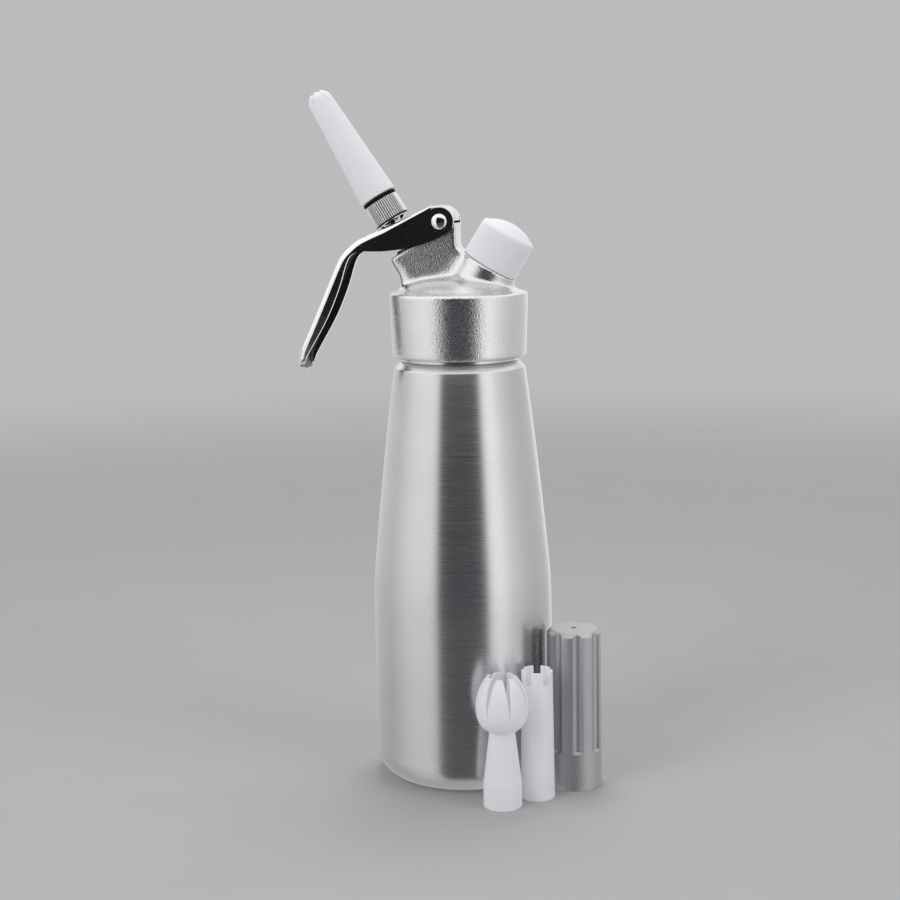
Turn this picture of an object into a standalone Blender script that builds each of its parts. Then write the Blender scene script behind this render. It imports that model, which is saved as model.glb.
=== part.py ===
"""Whipped cream dispenser: aluminium bottle, screwed head, lever valve and its tips.

Metres, +Z up.  The origin is the centre of the bottle's base.  The nozzle and the
lever lie towards -X, the charger port towards +X, and XZ is the symmetry plane.
"""
import math

import bmesh
import bpy
from mathutils import Matrix, Vector

# Driving dimensions of the bottle
bottle_radius = 0.0402
bottle_wall = 0.0020
bottle_straight_height = 0.0880
bottle_cone_height = 0.0980
base_corner_radius = 0.0120
cone_curve_share = 0.22
cone_point_shares = (1.0, 0.75, 0.5, 0.25, 0.06)
shoulder_radius = 0.0292
shoulder_chamfer_width = 0.0028
shoulder_chamfer_height = 0.0029
neck_radius = 0.0257
neck_height = 0.0181

# Fits: the gap between neighbouring pieces, how far a cutter reaches past the face it
# cuts, the distance within which points merge, and the foot width of a pointed notch
gap = 0.0003
overrun = 0.0010
weld_distance = 0.00001
flat_angle = math.radians(0.1)
notch_point_width = 0.0002

# Head collar and dome
collar_lift = 0.0015
collar_height = 0.0290
collar_wall = 0.0047
collar_taper = 0.0010
collar_edge_radius = 0.0030
collar_foot_bevel = 0.0008
dome_rise = 0.0072
gasket_width = 0.0040
gasket_thickness = 0.0015
chamber_radius = 0.0210
chamber_height = 0.0030

# Head block and pivot lug
block_thickness = 0.0140
axis_tilt = math.radians(31.0)
stem_foot_drop = 0.0177
port_foot_drop = 0.0127
stem_boss_reach = 0.0425
stem_boss_radius = 0.0105
stem_boss_bevel = 0.0011
port_boss_reach = 0.0279
port_boss_radius = 0.0130
boss_flare = 0.0035
stem_flare_height = 0.0295
stem_root_height = 0.0260
stem_side_foot = 0.0277
port_flare_height = 0.0229
port_root_height = 0.0114
pivot_offset = -0.0063
lug_radius = 0.0067
lug_offset = 0.0005
lug_under_web_radius = 0.0056
ridge_step = 0.0004
notch_depth = 0.0009
notch_height = 0.0010
ridge_foot_height = 0.0040
block_half_base = 0.0225

# Lever, a bent channel of sheet
sheet_thickness = 0.0014
lever_width = 0.0180
web_slope = math.radians(23.6)
web_over_pivot = 0.0079
web_rear_gap = 0.0013
lever_reach = 0.0850
lever_drop = 0.0340
flange_end_radius = 0.0061
bend_radius = 0.0021
stem_slot_length = 0.0130
stem_slot_width = 0.0094
slot_end_share = 0.3
pin_radius = 0.0024
pin_head_radius = 0.0034
pin_head_height = 0.0017

# Valve on the stem axis
stem_radius = 0.0030
stem_bore_radius = 0.0019
stem_neck_radius = 0.0034
shoulder_radius_on_stem = 0.0052
shoulder_thickness = 0.0016
shoulder_play = 0.0011
stem_tail = 0.0015
cross_hole_radius = 0.0013
cross_hole_lift = 0.0017
bush_radius = 0.0050
bush_depth = 0.0142
bush_flange_radius = 0.0060
bush_flange_thickness = 0.0008
seat_wall = 0.0040
packing_radius = 0.0049
packing_thickness = 0.0016
valve_pocket_radius = 0.0064
valve_pocket_depth = 0.0165
seal_radius = 0.0056
seal_thickness = 0.0027
seal_nut_radius = 0.0058
seal_nut_thickness = 0.0019
spring_length = 0.00674
spring_wire = 0.0007
spring_coil_radius = 0.0044
spring_turns = 4

# Nozzle adapter and mounted nozzle
lock_nut_radius = 0.0066
lock_nut_foot_radius = 0.0043
lock_nut_height = 0.0016
lock_nut_rim = 0.0004
adapter_lift = 0.0023
adapter_radius = 0.0081
adapter_top_radius = 0.0079
adapter_height = 0.0096
adapter_ribs = 48
rib_depth = 0.0005
rib_groove = 0.0005
adapter_bevel = 0.0006
stud_length = 0.0077
spigot_radius = 0.0059
spigot_height = 0.0086
spigot_bore_radius = 0.0026
adapter_ring_width = 0.0017
adapter_ring_thickness = 0.0013
nozzle_radius = 0.0084
nozzle_tip_radius = 0.0056
nozzle_length = 0.0534
nozzle_wall = 0.0013
nozzle_tip_length = 0.0053
nozzle_lip_share = 0.4
nozzle_mouth_radius = 0.0029
nozzle_petals = 6
nozzle_notch_depth = 0.0048
nozzle_notch_width = 0.0014

# Charger port and cap
port_root_radius = 0.0080
port_root_length = 0.0140
port_stud_radius = 0.0109
port_stud_height = 0.0120
port_bore_radius = 0.0072
port_socket_radius = 0.0050
port_socket_depth = 0.0105
port_floor = 0.0025
port_outlet_radius = 0.0015
gas_way_radius = 0.0020
gas_way_length = 0.0165
pin_holder_height = 0.0082
pin_holder_bore = 0.0015
needle_radius = 0.0012
needle_length = 0.0105
needle_point = 0.0030
valve_disc_thickness = 0.0016
valve_disc_radius = 0.0032
port_gasket_thickness = 0.0015
port_gasket_hole = 0.0022
cap_radius = 0.0129
cap_top_radius = 0.0124
cap_height = 0.0165
cap_dome = 0.0036
cap_edge_radius = 0.0018
cap_roof = 0.0026

# Pieces that stand beside the bottle
stand_gap = 0.0011
holder_radius = 0.0124
holder_top_radius = 0.0119
holder_height = 0.0715
holder_bore_radius = 0.0093
holder_roof = 0.0030
holder_vent_radius = 0.0013
holder_top_bevel = 0.0018
flute_count = 8
flute_radius = 0.0030
flute_depth = 0.0012
flute_foot_height = 0.0171
socket_depth = 0.0100
crown_radius = 0.0075
crown_top_radius = 0.0068
crown_height = 0.0575
crown_wall = 0.0012
crown_teeth = 5
crown_slot_width = 0.0030
crown_slot_depth = 0.0063
tulip_radius = 0.0084
tulip_neck_radius = 0.0055
tulip_bulb_radius = 0.0113
tulip_mouth_radius = 0.0062
tulip_base_height = 0.0108
tulip_neck_height = 0.0336
tulip_bulb_height = 0.0441
tulip_flare_share = 0.25
tulip_height = 0.0578
tulip_wall = 0.0012
tulip_petals = 7
tulip_slit_foot = 0.0412
tulip_slit_width = 0.0032
tulip_bearing = math.radians(-61.0)
tulip_gap = 0.0004
crown_gap = 0.0024
tips_gap = 0.0006
holder_gap = 0.0039
holder_turn = math.radians(-75.7)
tulip_turn = math.radians(-88.5)
crown_turn = math.radians(-81.5)
nozzle_turn = math.radians(-78.5)

# How finely round shapes are divided
fine_steps = 48
medium_steps = 32
small_steps = 24
tiny_steps = 16
arc_steps = 4
flare_steps = 3
corner_steps = 6
lug_steps = 10
rear_steps = 12
line_steps = 2
nozzle_steps = 36
ring_points = 8
spring_points_a_turn = 10

# Heights that follow from the sizes above
shoulder_height = bottle_straight_height + bottle_cone_height
neck_foot = shoulder_height + shoulder_chamfer_height
mouth_height = neck_foot + neck_height
collar_foot = neck_foot + collar_lift
rim_height = collar_foot + collar_height
collar_bore = neck_radius + gap
collar_foot_radius = collar_bore + collar_wall - collar_taper
collar_rim_radius = collar_bore + collar_wall
gasket_seat = mouth_height + gap + gasket_thickness + gap
chamber_ceiling = gasket_seat + chamber_height
half_block = block_thickness / 2
half_lever = lever_width / 2

stem_direction = Vector((-math.sin(axis_tilt), 0.0, math.cos(axis_tilt)))
port_direction = Vector((math.sin(axis_tilt), 0.0, math.cos(axis_tilt)))
stem_foot = Vector((0.0, 0.0, rim_height - stem_foot_drop))
port_foot = Vector((0.0, 0.0, rim_height - port_foot_drop))
web_direction = Vector((-math.cos(web_slope), 0.0, -math.sin(web_slope)))
web_normal = Vector((-math.sin(web_slope), 0.0, math.cos(web_slope)))

# Heights on the stem axis: the spring stands on the bush, the stem's shoulder on the
# spring, and the lever's web lies over the shoulder, which places the lever's pivot
bush_flange_foot = stem_boss_reach + gap
bush_top = bush_flange_foot + bush_flange_thickness
spring_foot = bush_top + gap
spring_top = spring_foot + spring_length
shoulder_bottom = spring_top + gap
shoulder_top = shoulder_bottom + shoulder_thickness
web_inside = shoulder_top + shoulder_play
web_outside = web_inside + sheet_thickness / stem_direction.dot(web_normal)
web_level = (stem_foot + stem_direction * web_outside).dot(web_normal) - web_over_pivot
pivot = Vector((pivot_offset, 0.0, (web_level - pivot_offset * web_normal.x) / web_normal.z))

packing_seat = stem_boss_reach - bush_depth
valve_seat = packing_seat - seat_wall
packing_foot = packing_seat + gap
bush_foot = packing_foot + packing_thickness + gap
seal_top = valve_seat - gap
seal_nut_top = seal_top - seal_thickness - gap
stem_end = seal_nut_top - seal_nut_thickness - stem_tail
adapter_foot = web_outside + adapter_lift
adapter_top = adapter_foot + adapter_height
spigot_top = adapter_top + spigot_height
stud_top = adapter_foot + stud_length
lock_nut_top = adapter_foot - gap
lock_nut_foot = lock_nut_top - lock_nut_height
ring_foot = adapter_top + gap
nozzle_foot = ring_foot + adapter_ring_thickness + gap
port_seat = port_boss_reach + gap
tip_socket_radius = spigot_radius + gap

# Places of the loose pieces round the bottle, each a named gap from the one before it
holder_away = bottle_radius + stand_gap + holder_radius
crown_away = bottle_radius + crown_gap + crown_radius
tulip_away = bottle_radius + tulip_gap + tulip_bulb_radius
crown_slope = (crown_radius - crown_top_radius) / crown_height
crown_radius_beside_bulb = crown_radius - crown_slope * tulip_bulb_height


def bearing_between(one_away, other_away, apart):
    """Angle at the bottle's axis between two pieces whose own axes are that far apart."""
    return math.acos((one_away ** 2 + other_away ** 2 - apart ** 2) / (2 * one_away * other_away))


crown_bearing = tulip_bearing + bearing_between(
    tulip_away, crown_away, tulip_bulb_radius + crown_radius_beside_bulb + tips_gap)
holder_bearing = crown_bearing + bearing_between(
    crown_away, holder_away, crown_radius + holder_radius + holder_gap)


# Collections
for old in list(bpy.data.objects):
    bpy.data.objects.remove(old, do_unlink=True)
for old in list(bpy.data.collections):
    bpy.data.collections.remove(old)
parts = bpy.data.collections.new("whipped_cream_dispenser")
cutters = bpy.data.collections.new("cutters")
bpy.context.scene.collection.children.link(parts)
bpy.context.scene.collection.children.link(cutters)


def material(name, colour, roughness, metallic):
    made = bpy.data.materials.new(name)
    made.use_nodes = True
    shader = made.node_tree.nodes["Principled BSDF"]
    shader.inputs["Base Color"].default_value = (*colour, 1.0)
    shader.inputs["Roughness"].default_value = roughness
    shader.inputs["Metallic"].default_value = metallic
    return made


def axis_empty(name, place, turn=0.0):
    """An empty whose local Z is the axis, turned about +Y."""
    empty = bpy.data.objects.new(name, None)
    empty.location = place
    empty.rotation_euler = (0.0, turn, 0.0)
    empty.empty_display_size = bottle_radius
    parts.objects.link(empty)
    return empty


def place(name, mesh, parent, look=None):
    """Link a mesh as a part, or as a cutter when it has no look."""
    thing = bpy.data.objects.new(name, mesh)
    thing.parent = parent
    if look is None:
        thing.display_type = "WIRE"
        thing.hide_render = True
        cutters.objects.link(thing)
    else:
        mesh.materials.append(look)
        parts.objects.link(thing)
    return thing


def turned(name, outline, steps, parent, look=None, solid=True):
    """Turn an outline of (radius, height) about the parent's Z axis.

    The outline runs down the outer side.  Where it doesn't start on the axis it is a
    ring, whose last point joins the first, or else an open skin that gets a wall.
    """
    mesh = bpy.data.meshes.new(name)
    points = [(radius, 0.0, height) for radius, height in outline]
    edges = [(index, index + 1) for index in range(len(points) - 1)]
    if solid and outline[0][0] > 0.0:
        edges.append((len(points) - 1, 0))
    mesh.from_pydata(points, edges, [])
    thing = place(name, mesh, parent, look)
    screw = thing.modifiers.new("turn", "SCREW")
    screw.steps = steps
    screw.render_steps = steps
    screw.use_merge_vertices = True
    screw.merge_threshold = weld_distance
    return thing


def plate(name, outline, half_thickness, parent, look=None):
    """A flat plate in the XZ plane with this outline, made from a filled 2D curve."""
    curve = bpy.data.curves.new(name, "CURVE")
    curve.dimensions = "2D"
    curve.fill_mode = "BOTH"
    curve.extrude = half_thickness
    spline = curve.splines.new("POLY")
    spline.points.add(len(outline) - 1)
    for point, (across, up) in zip(spline.points, outline):
        point.co = (across, up, 0.0, 1.0)
    spline.use_cyclic_u = True
    return place(name, mesh_of_curve(name, curve, Matrix.Rotation(math.pi / 2, 4, "X")), parent, look)


def mesh_of_curve(name, curve, turn=Matrix()):
    """The curve's evaluated surface as a closed mesh."""
    guide = bpy.data.objects.new(name + "_guide", curve)
    cutters.objects.link(guide)
    bpy.context.view_layer.update()
    graph = bpy.context.evaluated_depsgraph_get()
    mesh = bpy.data.meshes.new_from_object(guide.evaluated_get(graph))
    bpy.data.objects.remove(guide, do_unlink=True)
    work = bmesh.new()
    work.from_mesh(mesh)
    bmesh.ops.remove_doubles(work, verts=work.verts, dist=weld_distance)
    bmesh.ops.dissolve_limit(work, angle_limit=flat_angle, verts=work.verts, edges=work.edges)
    bmesh.ops.recalc_face_normals(work, faces=work.faces)
    bmesh.ops.transform(work, matrix=turn, verts=work.verts)
    work.to_mesh(mesh)
    work.free()
    mesh.name = name
    return mesh


def block(name, size, centre, parent):
    """A box used as a cutter."""
    mesh = bpy.data.meshes.new(name)
    work = bmesh.new()
    bmesh.ops.create_cube(work, size=1.0)
    bmesh.ops.scale(work, vec=size, verts=work.verts)
    bmesh.ops.translate(work, vec=centre, verts=work.verts)
    work.to_mesh(mesh)
    work.free()
    return place(name, mesh, parent)


def rod(name, radius, length, parent, centre, turn, steps=small_steps):
    """A cylinder used as a cutter, its axis turned from Z by the matrix."""
    mesh = bpy.data.meshes.new(name)
    work = bmesh.new()
    bmesh.ops.create_cone(work, cap_ends=True, segments=steps, radius1=radius, radius2=radius, depth=length)
    bmesh.ops.transform(work, matrix=Matrix.Translation(centre) @ turn, verts=work.verts)
    work.to_mesh(mesh)
    work.free()
    return place(name, mesh, parent)


def wedges(name, count, inner, outer, foot, top, foot_width, top_width, parent, first=0.0):
    """Radial wedges in a ring, as one cutter: each widens from its foot to its top."""
    mesh = bpy.data.meshes.new(name)
    work = bmesh.new()
    for number in range(count):
        made = bmesh.ops.create_cube(work, size=1.0)["verts"]
        for vert in made:
            wide = top_width if vert.co.z > 0.0 else foot_width
            vert.co.y *= wide
            vert.co.x = outer if vert.co.x > 0.0 else inner
            vert.co.z = top if vert.co.z > 0.0 else foot
        angle = first + math.tau * number / count
        bmesh.ops.rotate(work, matrix=Matrix.Rotation(angle, 3, "Z"), verts=made)
    work.to_mesh(mesh)
    work.free()
    return place(name, mesh, parent)


def combine(thing, other, operation):
    change = thing.modifiers.new(operation.lower(), "BOOLEAN")
    change.operation = operation
    change.object = other
    change.solver = "EXACT"


def arc(centre, radius, start, end, steps=arc_steps):
    """Points on an arc, both ends included, in degrees."""
    points = []
    for number in range(steps + 1):
        angle = math.radians(start + (end - start) * number / steps)
        points.append((centre[0] + radius * math.cos(angle), centre[1] + radius * math.sin(angle)))
    return points


def bend(first, corner, last, steps=arc_steps):
    """A soft bend from one point to another that leans towards the corner."""
    points = []
    for number in range(steps + 1):
        share = number / steps
        here = []
        for one, two, three in zip(first, corner, last):
            here.append((1 - share) ** 2 * one + 2 * share * (1 - share) * two + share ** 2 * three)
        points.append(tuple(here))
    return points


def smooth_line(points, steps):
    """A smooth line through the points, steps stretches from each to the next."""
    padded = [points[0]] + list(points) + [points[-1]]
    line = []
    for number in range(len(points) - 1):
        before, start, end, after = padded[number:number + 4]
        for step in range(steps):
            t = step / steps
            here = []
            for a, b, c, d in zip(before, start, end, after):
                here.append((2 * b + (c - a) * t + (2 * a - 5 * b + 4 * c - d) * t ** 2
                             + (3 * b - a - 3 * c + d) * t ** 3) / 2)
            line.append(tuple(here))
    line.append(tuple(points[-1]))
    return line


def beside(line, distance):
    """The line moved sideways, to its left when the distance is positive."""
    moved = []
    for number, (x, y) in enumerate(line):
        before = Vector(line[max(number - 1, 0)])
        after = Vector(line[min(number + 1, len(line) - 1)])
        along = (after - before).normalized()
        moved.append((x - along.y * distance, y + along.x * distance))
    return moved


# Looks of the real pieces
brushed = material("brushed_aluminium", (0.62, 0.62, 0.63), 0.32, 1.0)
satin = material("satin_aluminium", (0.66, 0.66, 0.66), 0.42, 1.0)
chrome = material("polished_chrome", (0.80, 0.80, 0.82), 0.06, 1.0)
steel = material("steel", (0.58, 0.58, 0.60), 0.25, 1.0)
brass = material("brass", (0.72, 0.52, 0.22), 0.28, 1.0)
grey_satin = material("grey_satin", (0.55, 0.55, 0.58), 0.38, 0.8)
white_plastic = material("white_plastic", (0.82, 0.83, 0.86), 0.45, 0.0)
black_rubber = material("black_rubber", (0.012, 0.012, 0.012), 0.55, 0.0)
red_rubber = material("seal_rubber", (0.42, 0.10, 0.07), 0.60, 0.0)

# Axes of the assembly
bottle_axis = axis_empty("bottle_axis", (0.0, 0.0, 0.0))
head_axis = axis_empty("head_axis", (0.0, 0.0, 0.0))
stem_axis = axis_empty("stem_axis", stem_foot, -axis_tilt)
port_axis = axis_empty("port_axis", port_foot, axis_tilt)
lever_pivot = axis_empty("lever_pivot", pivot, -web_slope)


def own_material(look, name):
    copy = look.copy()
    copy.name = name
    return copy


def make_bottle():
    """A drawn shell: flat base, straight wall, curved cone, chamfered shoulder, neck."""
    fall = bottle_radius - shoulder_radius
    outline = [
        (neck_radius, mouth_height),
        (neck_radius, neck_foot),
        (shoulder_radius - shoulder_chamfer_width, neck_foot),
    ]
    for share in cone_point_shares:
        drop = fall * ((1 - cone_curve_share) * share + cone_curve_share * share ** 2)
        outline.append((bottle_radius - drop, bottle_straight_height + bottle_cone_height * share))
    blend_top = outline.pop()
    outline += bend(blend_top, (bottle_radius, bottle_straight_height),
                    (bottle_radius, bottle_straight_height * 2 - blend_top[1]), line_steps)
    corner = (bottle_radius - base_corner_radius, base_corner_radius)
    outline += arc(corner, base_corner_radius, 0.0, -90.0, corner_steps)
    outline.append((0.0, 0.0))
    bottle = turned("bottle", outline, fine_steps, bottle_axis, own_material(brushed, "bottle"), False)
    shell = bottle.modifiers.new("wall", "SOLIDIFY")
    shell.thickness = bottle_wall
    shell.offset = -1.0
    shell.use_even_offset = True
    return bottle


def ring(name, outer, inner, foot, top, steps, parent, look):
    outline = [(outer, top), (outer, foot), (inner, foot), (inner, top)]
    return turned(name, outline, steps, parent, own_material(look, name))


def make_head():
    """The cast head: collar and dome, flat block with its lug, two bosses, bores."""
    dome_radius = collar_rim_radius - collar_edge_radius
    dome = []
    for number in range(arc_steps + 1):
        share = number / arc_steps
        dome.append((dome_radius * share, rim_height + dome_rise * (1 - share ** 2) - gap))
    edge = arc((dome_radius, rim_height - collar_edge_radius - gap), collar_edge_radius, 65.0, 0.0)
    foot = [
        (collar_foot_radius, collar_foot + collar_foot_bevel),
        (collar_foot_radius - collar_foot_bevel, collar_foot),
        (0.0, collar_foot),
    ]
    head = turned("head", dome + edge + foot, fine_steps, head_axis, own_material(satin, "head"))

    boss = turned("stem_boss", [
        (0.0, stem_boss_reach),
        (bush_radius + gap + stem_boss_bevel, stem_boss_reach),
        (stem_boss_radius, stem_boss_reach - stem_boss_bevel),
    ] + flared_root(stem_boss_radius, stem_flare_height, stem_root_height), medium_steps, stem_axis)
    tall = pivot.z
    flats = block("block_flats", (tall, block_thickness, tall), (0.0, 0.0, tall), head_axis)
    port_boss = turned("port_boss", [
        (0.0, port_boss_reach),
        (port_boss_radius, port_boss_reach),
    ] + flared_root(port_boss_radius, port_flare_height, port_root_height), fine_steps, port_axis)
    flat_block = plate("head_block", head_block_outline(), half_block + overrun, head_axis)
    combine(flat_block, boss, "UNION")
    combine(flat_block, flats, "INTERSECT")
    for piece in (flat_block, port_boss):
        combine(head, piece, "UNION")

    cavity = turned("collar_bore", [
        (0.0, chamber_ceiling),
        (chamber_radius, chamber_ceiling),
        (chamber_radius, gasket_seat),
        (collar_bore, gasket_seat),
        (collar_bore, collar_foot - overrun),
        (0.0, collar_foot - overrun),
    ], fine_steps, head_axis)
    stem_bores = turned("stem_bores", [
        (0.0, stem_boss_reach + overrun),
        (bush_radius + gap, stem_boss_reach + overrun),
        (bush_radius + gap, packing_seat),
        (stem_radius + gap, packing_seat),
        (stem_radius + gap, valve_seat),
        (valve_pocket_radius, valve_seat),
        (valve_pocket_radius, valve_seat - valve_pocket_depth),
        (0.0, valve_seat - valve_pocket_depth),
    ], small_steps, stem_axis)
    port_bottom = port_boss_reach - port_root_length - gap
    port_bores = turned("port_bores", [
        (0.0, port_boss_reach + overrun),
        (port_root_radius + gap, port_boss_reach + overrun),
        (port_root_radius + gap, port_bottom),
        (gas_way_radius, port_bottom),
        (gas_way_radius, port_bottom - gas_way_length),
        (0.0, port_bottom - gas_way_length),
    ], small_steps, port_axis)
    pin_bore = rod("pin_bore", pin_radius + gap, lever_width, lever_pivot, (0.0, 0.0, 0.0),
                   Matrix.Rotation(math.pi / 2, 4, "X"), tiny_steps)
    for cutter in (cavity, stem_bores, port_bores, pin_bore):
        combine(head, cutter, "DIFFERENCE")
    return head


def flared_root(radius, flare_height, root_height):
    """The foot of a boss: its side flares like a fillet before it sinks in the dome."""
    flare_foot = flare_height - boss_flare / 2
    side = bend((radius, flare_height + boss_flare), (radius, flare_height),
                (radius + boss_flare, flare_foot), flare_steps)
    return side + [(radius + boss_flare, root_height), (0.0, root_height)]


def head_block_outline():
    """Side view of the head's flat block, from the left foot over the lug to the right."""
    def on_axis(foot, direction, along, across):
        side = Vector((direction.z, 0.0, -direction.x))
        point = foot + direction * along + side * across
        return (point.x, point.z)

    block_foot = rim_height - collar_edge_radius
    stem_half = (stem_boss_radius ** 2 - half_block ** 2) ** 0.5
    shaft_top = stem_boss_reach - stem_boss_bevel * 2
    outline = [(-block_half_base, block_foot)]
    outline.append(on_axis(stem_foot, stem_direction, stem_side_foot, -stem_half))
    outline.append(on_axis(stem_foot, stem_direction, shaft_top, -stem_half))
    outline.append(on_axis(stem_foot, stem_direction, shaft_top, stem_half))
    centre = (pivot.x, pivot.z)
    outline += arc(centre, lug_under_web_radius, 190.0, 115.0, corner_steps)
    lug_centre = (pivot.x - lug_offset, pivot.z + lug_offset)
    outline += arc(lug_centre, lug_radius, 96.0, 2.0, lug_steps)
    lug_back = lug_centre[0] + lug_radius
    ridge_back = lug_back + ridge_step
    outline += [
        (lug_back - notch_depth, pivot.z),
        (lug_back - notch_depth, pivot.z - notch_height),
        (ridge_back - ridge_step, pivot.z - notch_height),
        (ridge_back, pivot.z - notch_height - ridge_step),
    ]
    boss_corner = on_axis(port_foot, port_direction, port_boss_reach - gap, overrun - port_boss_radius)
    ridge_foot = boss_corner[1] + ridge_foot_height
    outline += bend((ridge_back, ridge_foot), (ridge_back, boss_corner[1] + ridge_foot_height / 3),
                    boss_corner)
    outline.append(on_axis(port_foot, port_direction, (port_root_height + port_flare_height) / 2, 0.0))
    outline.append((block_half_base, block_foot))
    return outline


# Outline of the lever in its own frame: shares of its reach (towards the handle) and
# of its drop below the pivot, chosen by hand along the web and along the flange edge
web_line_shares = [
    (0.30, -0.221), (0.424, -0.221), (0.49, -0.200), (0.555, -0.135), (0.612, -0.025),
    (0.672, 0.110), (0.742, 0.268), (0.812, 0.424), (0.885, 0.585), (0.945, 0.715),
    (0.982, 0.810), (1.0, 0.905), (0.996, 0.975), (0.982, 1.0),
]
flange_edge_shares = [
    (0.935, 0.860), (0.870, 0.735), (0.800, 0.610), (0.730, 0.470), (0.665, 0.320),
    (0.610, 0.180), (0.565, 0.050), (0.530, -0.040), (0.497, -0.088), (0.455, -0.090),
    (0.400, -0.030), (0.330, 0.045), (0.245, 0.112), (0.145, 0.168), (0.055, 0.182),
]


def lever_lines():
    """The web's outer line, its inner line and the flange's free edge, in lever axes."""
    knee = [(-across * lever_reach, -down * lever_drop) for across, down in web_line_shares]
    knee[0] = (knee[0][0], web_over_pivot)
    knee[1] = (knee[1][0], web_over_pivot)
    outer = [(-web_rear_gap, web_over_pivot)] + smooth_line(knee, line_steps)
    inner = beside(outer, sheet_thickness)
    edge = [(-across * lever_reach, -down * lever_drop) for across, down in flange_edge_shares]
    return outer, inner, smooth_line(edge, line_steps)


def make_lever():
    outer, inner, edge = lever_lines()
    start = min(range(len(inner)), key=lambda n: (Vector(inner[n]) - Vector(edge[0])).length)
    rear = arc((0.0, 0.0), flange_end_radius, -93.0, 97.0, rear_steps)
    outline = outer + inner[:start:-1] + edge + rear
    outline.append((-web_rear_gap, flange_end_radius))
    lever = plate("lever", outline, half_lever, lever_pivot, own_material(chrome, "lever"))
    round_web_corners(lever.data, outer)
    hollow_edge = beside(edge, -overrun)
    below = arc((0.0, 0.0), flange_end_radius + overrun, -93.0, 60.0, rear_steps)
    open_rear = overrun - web_rear_gap
    above = web_over_pivot + overrun
    mouth = [(flange_end_radius, above), (open_rear, above), (open_rear, inner[0][1])]
    hollow = mouth + inner[:start + 1] + hollow_edge + below
    inside = plate("lever_hollow", hollow, half_lever - sheet_thickness, lever_pivot)
    combine(lever, inside, "DIFFERENCE")
    on_web = stem_foot + stem_direction * web_outside - pivot
    slot_place = (-on_web.dot(web_direction), 0.0, web_over_pivot)
    slot_size = (stem_slot_length, stem_slot_width, sheet_thickness * 4)
    slot = block("stem_slot", slot_size, slot_place, lever_pivot)
    rounding = slot.modifiers.new("slot_ends", "BEVEL")
    rounding.width = stem_slot_width * slot_end_share
    rounding.segments = flare_steps
    rounding.limit_method = "ANGLE"
    combine(lever, slot, "DIFFERENCE")
    holes = rod("lever_holes", pin_radius + gap, lever_width + overrun, lever_pivot, (0.0, 0.0, 0.0),
                Matrix.Rotation(math.pi / 2, 4, "X"), tiny_steps)
    combine(lever, holes, "DIFFERENCE")
    return lever


def round_web_corners(mesh, outer):
    """Round the two long corners where the web turns into the flanges."""
    work = bmesh.new()
    work.from_mesh(mesh)
    line = [Vector(point) for point in outer]
    on_line = {vert for vert in work.verts
               if min((Vector((vert.co.x, vert.co.z)) - point).length for point in line) < weld_distance}
    corners = []
    for edge in work.edges:
        one, two = edge.verts
        if abs(one.co.y - two.co.y) < half_lever and one in on_line and two in on_line:
            corners.append(edge)
    bmesh.ops.bevel(work, geom=corners, offset=bend_radius, segments=flare_steps, profile=0.5,
                    affect="EDGES")
    work.to_mesh(mesh)
    work.free()


def make_pin():
    """The pivot pin with its domed head, and the domed nut on its far end."""
    flange_face = half_lever + gap
    across = axis_empty("pin_axis", pivot)
    across.rotation_euler = (math.pi / 2, 0.0, 0.0)
    dome = bend((0.0, flange_face + pin_head_height), (pin_head_radius, flange_face + pin_head_height),
                (pin_head_radius, flange_face))
    turned("lever_pin", dome + [
        (pin_radius, flange_face),
        (pin_radius, -flange_face - pin_head_height / 2),
        (0.0, -flange_face - pin_head_height / 2),
    ], small_steps, across, own_material(chrome, "lever_pin"))
    cup = bend((pin_head_radius, -flange_face), (pin_head_radius, -flange_face - pin_head_height - gap),
               (0.0, -flange_face - pin_head_height - gap))
    inside = -flange_face - pin_head_height / 2 - gap
    turned("pin_nut", [(0.0, inside), (pin_radius + gap, inside), (pin_radius + gap, -flange_face)] + cup,
           small_steps, across, own_material(chrome, "pin_nut"))


def make_valve():
    """What sits on the stem axis, from the tail inside the head to the lock nut."""
    stem = turned("valve_stem", [
        (0.0, valve_seat),
        (stem_bore_radius, valve_seat),
        (stem_bore_radius, stud_top),
        (stem_neck_radius, stud_top),
        (stem_neck_radius, shoulder_top),
        (shoulder_radius_on_stem, shoulder_top),
        (shoulder_radius_on_stem, shoulder_bottom),
        (stem_radius, shoulder_bottom),
        (stem_radius, stem_end),
        (0.0, stem_end),
    ], small_steps, stem_axis, own_material(chrome, "valve_stem"))
    hole = rod("cross_hole", cross_hole_radius, stem_radius * 3, stem_axis,
               (0.0, 0.0, valve_seat + cross_hole_lift), Matrix.Rotation(math.pi / 2, 4, "Y"), tiny_steps)
    combine(stem, hole, "DIFFERENCE")
    ring("valve_seal", seal_radius, stem_radius + gap, seal_top - seal_thickness, seal_top,
         small_steps, stem_axis, red_rubber)
    ring("seal_nut", seal_nut_radius, stem_radius + gap, seal_nut_top - seal_nut_thickness,
         seal_nut_top, small_steps, stem_axis, steel)
    packing_middle = packing_foot + packing_thickness / 2
    turned("gland_o_ring", o_ring(stem_radius + gap, packing_radius, packing_middle, packing_thickness),
           tiny_steps, stem_axis, own_material(black_rubber, "gland_o_ring"))
    turned("gland_bush", [
        (bush_flange_radius, bush_top),
        (bush_flange_radius, bush_flange_foot),
        (bush_radius, bush_flange_foot),
        (bush_radius, bush_foot),
        (stem_radius + gap, bush_foot),
        (stem_radius + gap, bush_top),
    ], small_steps, stem_axis, own_material(brass, "gland_bush"))
    turned("lock_nut", [
        (lock_nut_radius, lock_nut_top),
        (lock_nut_radius, lock_nut_top - lock_nut_rim),
        (lock_nut_foot_radius, lock_nut_foot),
        (stem_neck_radius + gap, lock_nut_foot),
        (stem_neck_radius + gap, lock_nut_top),
    ], small_steps, stem_axis, own_material(chrome, "lock_nut"))


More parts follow.
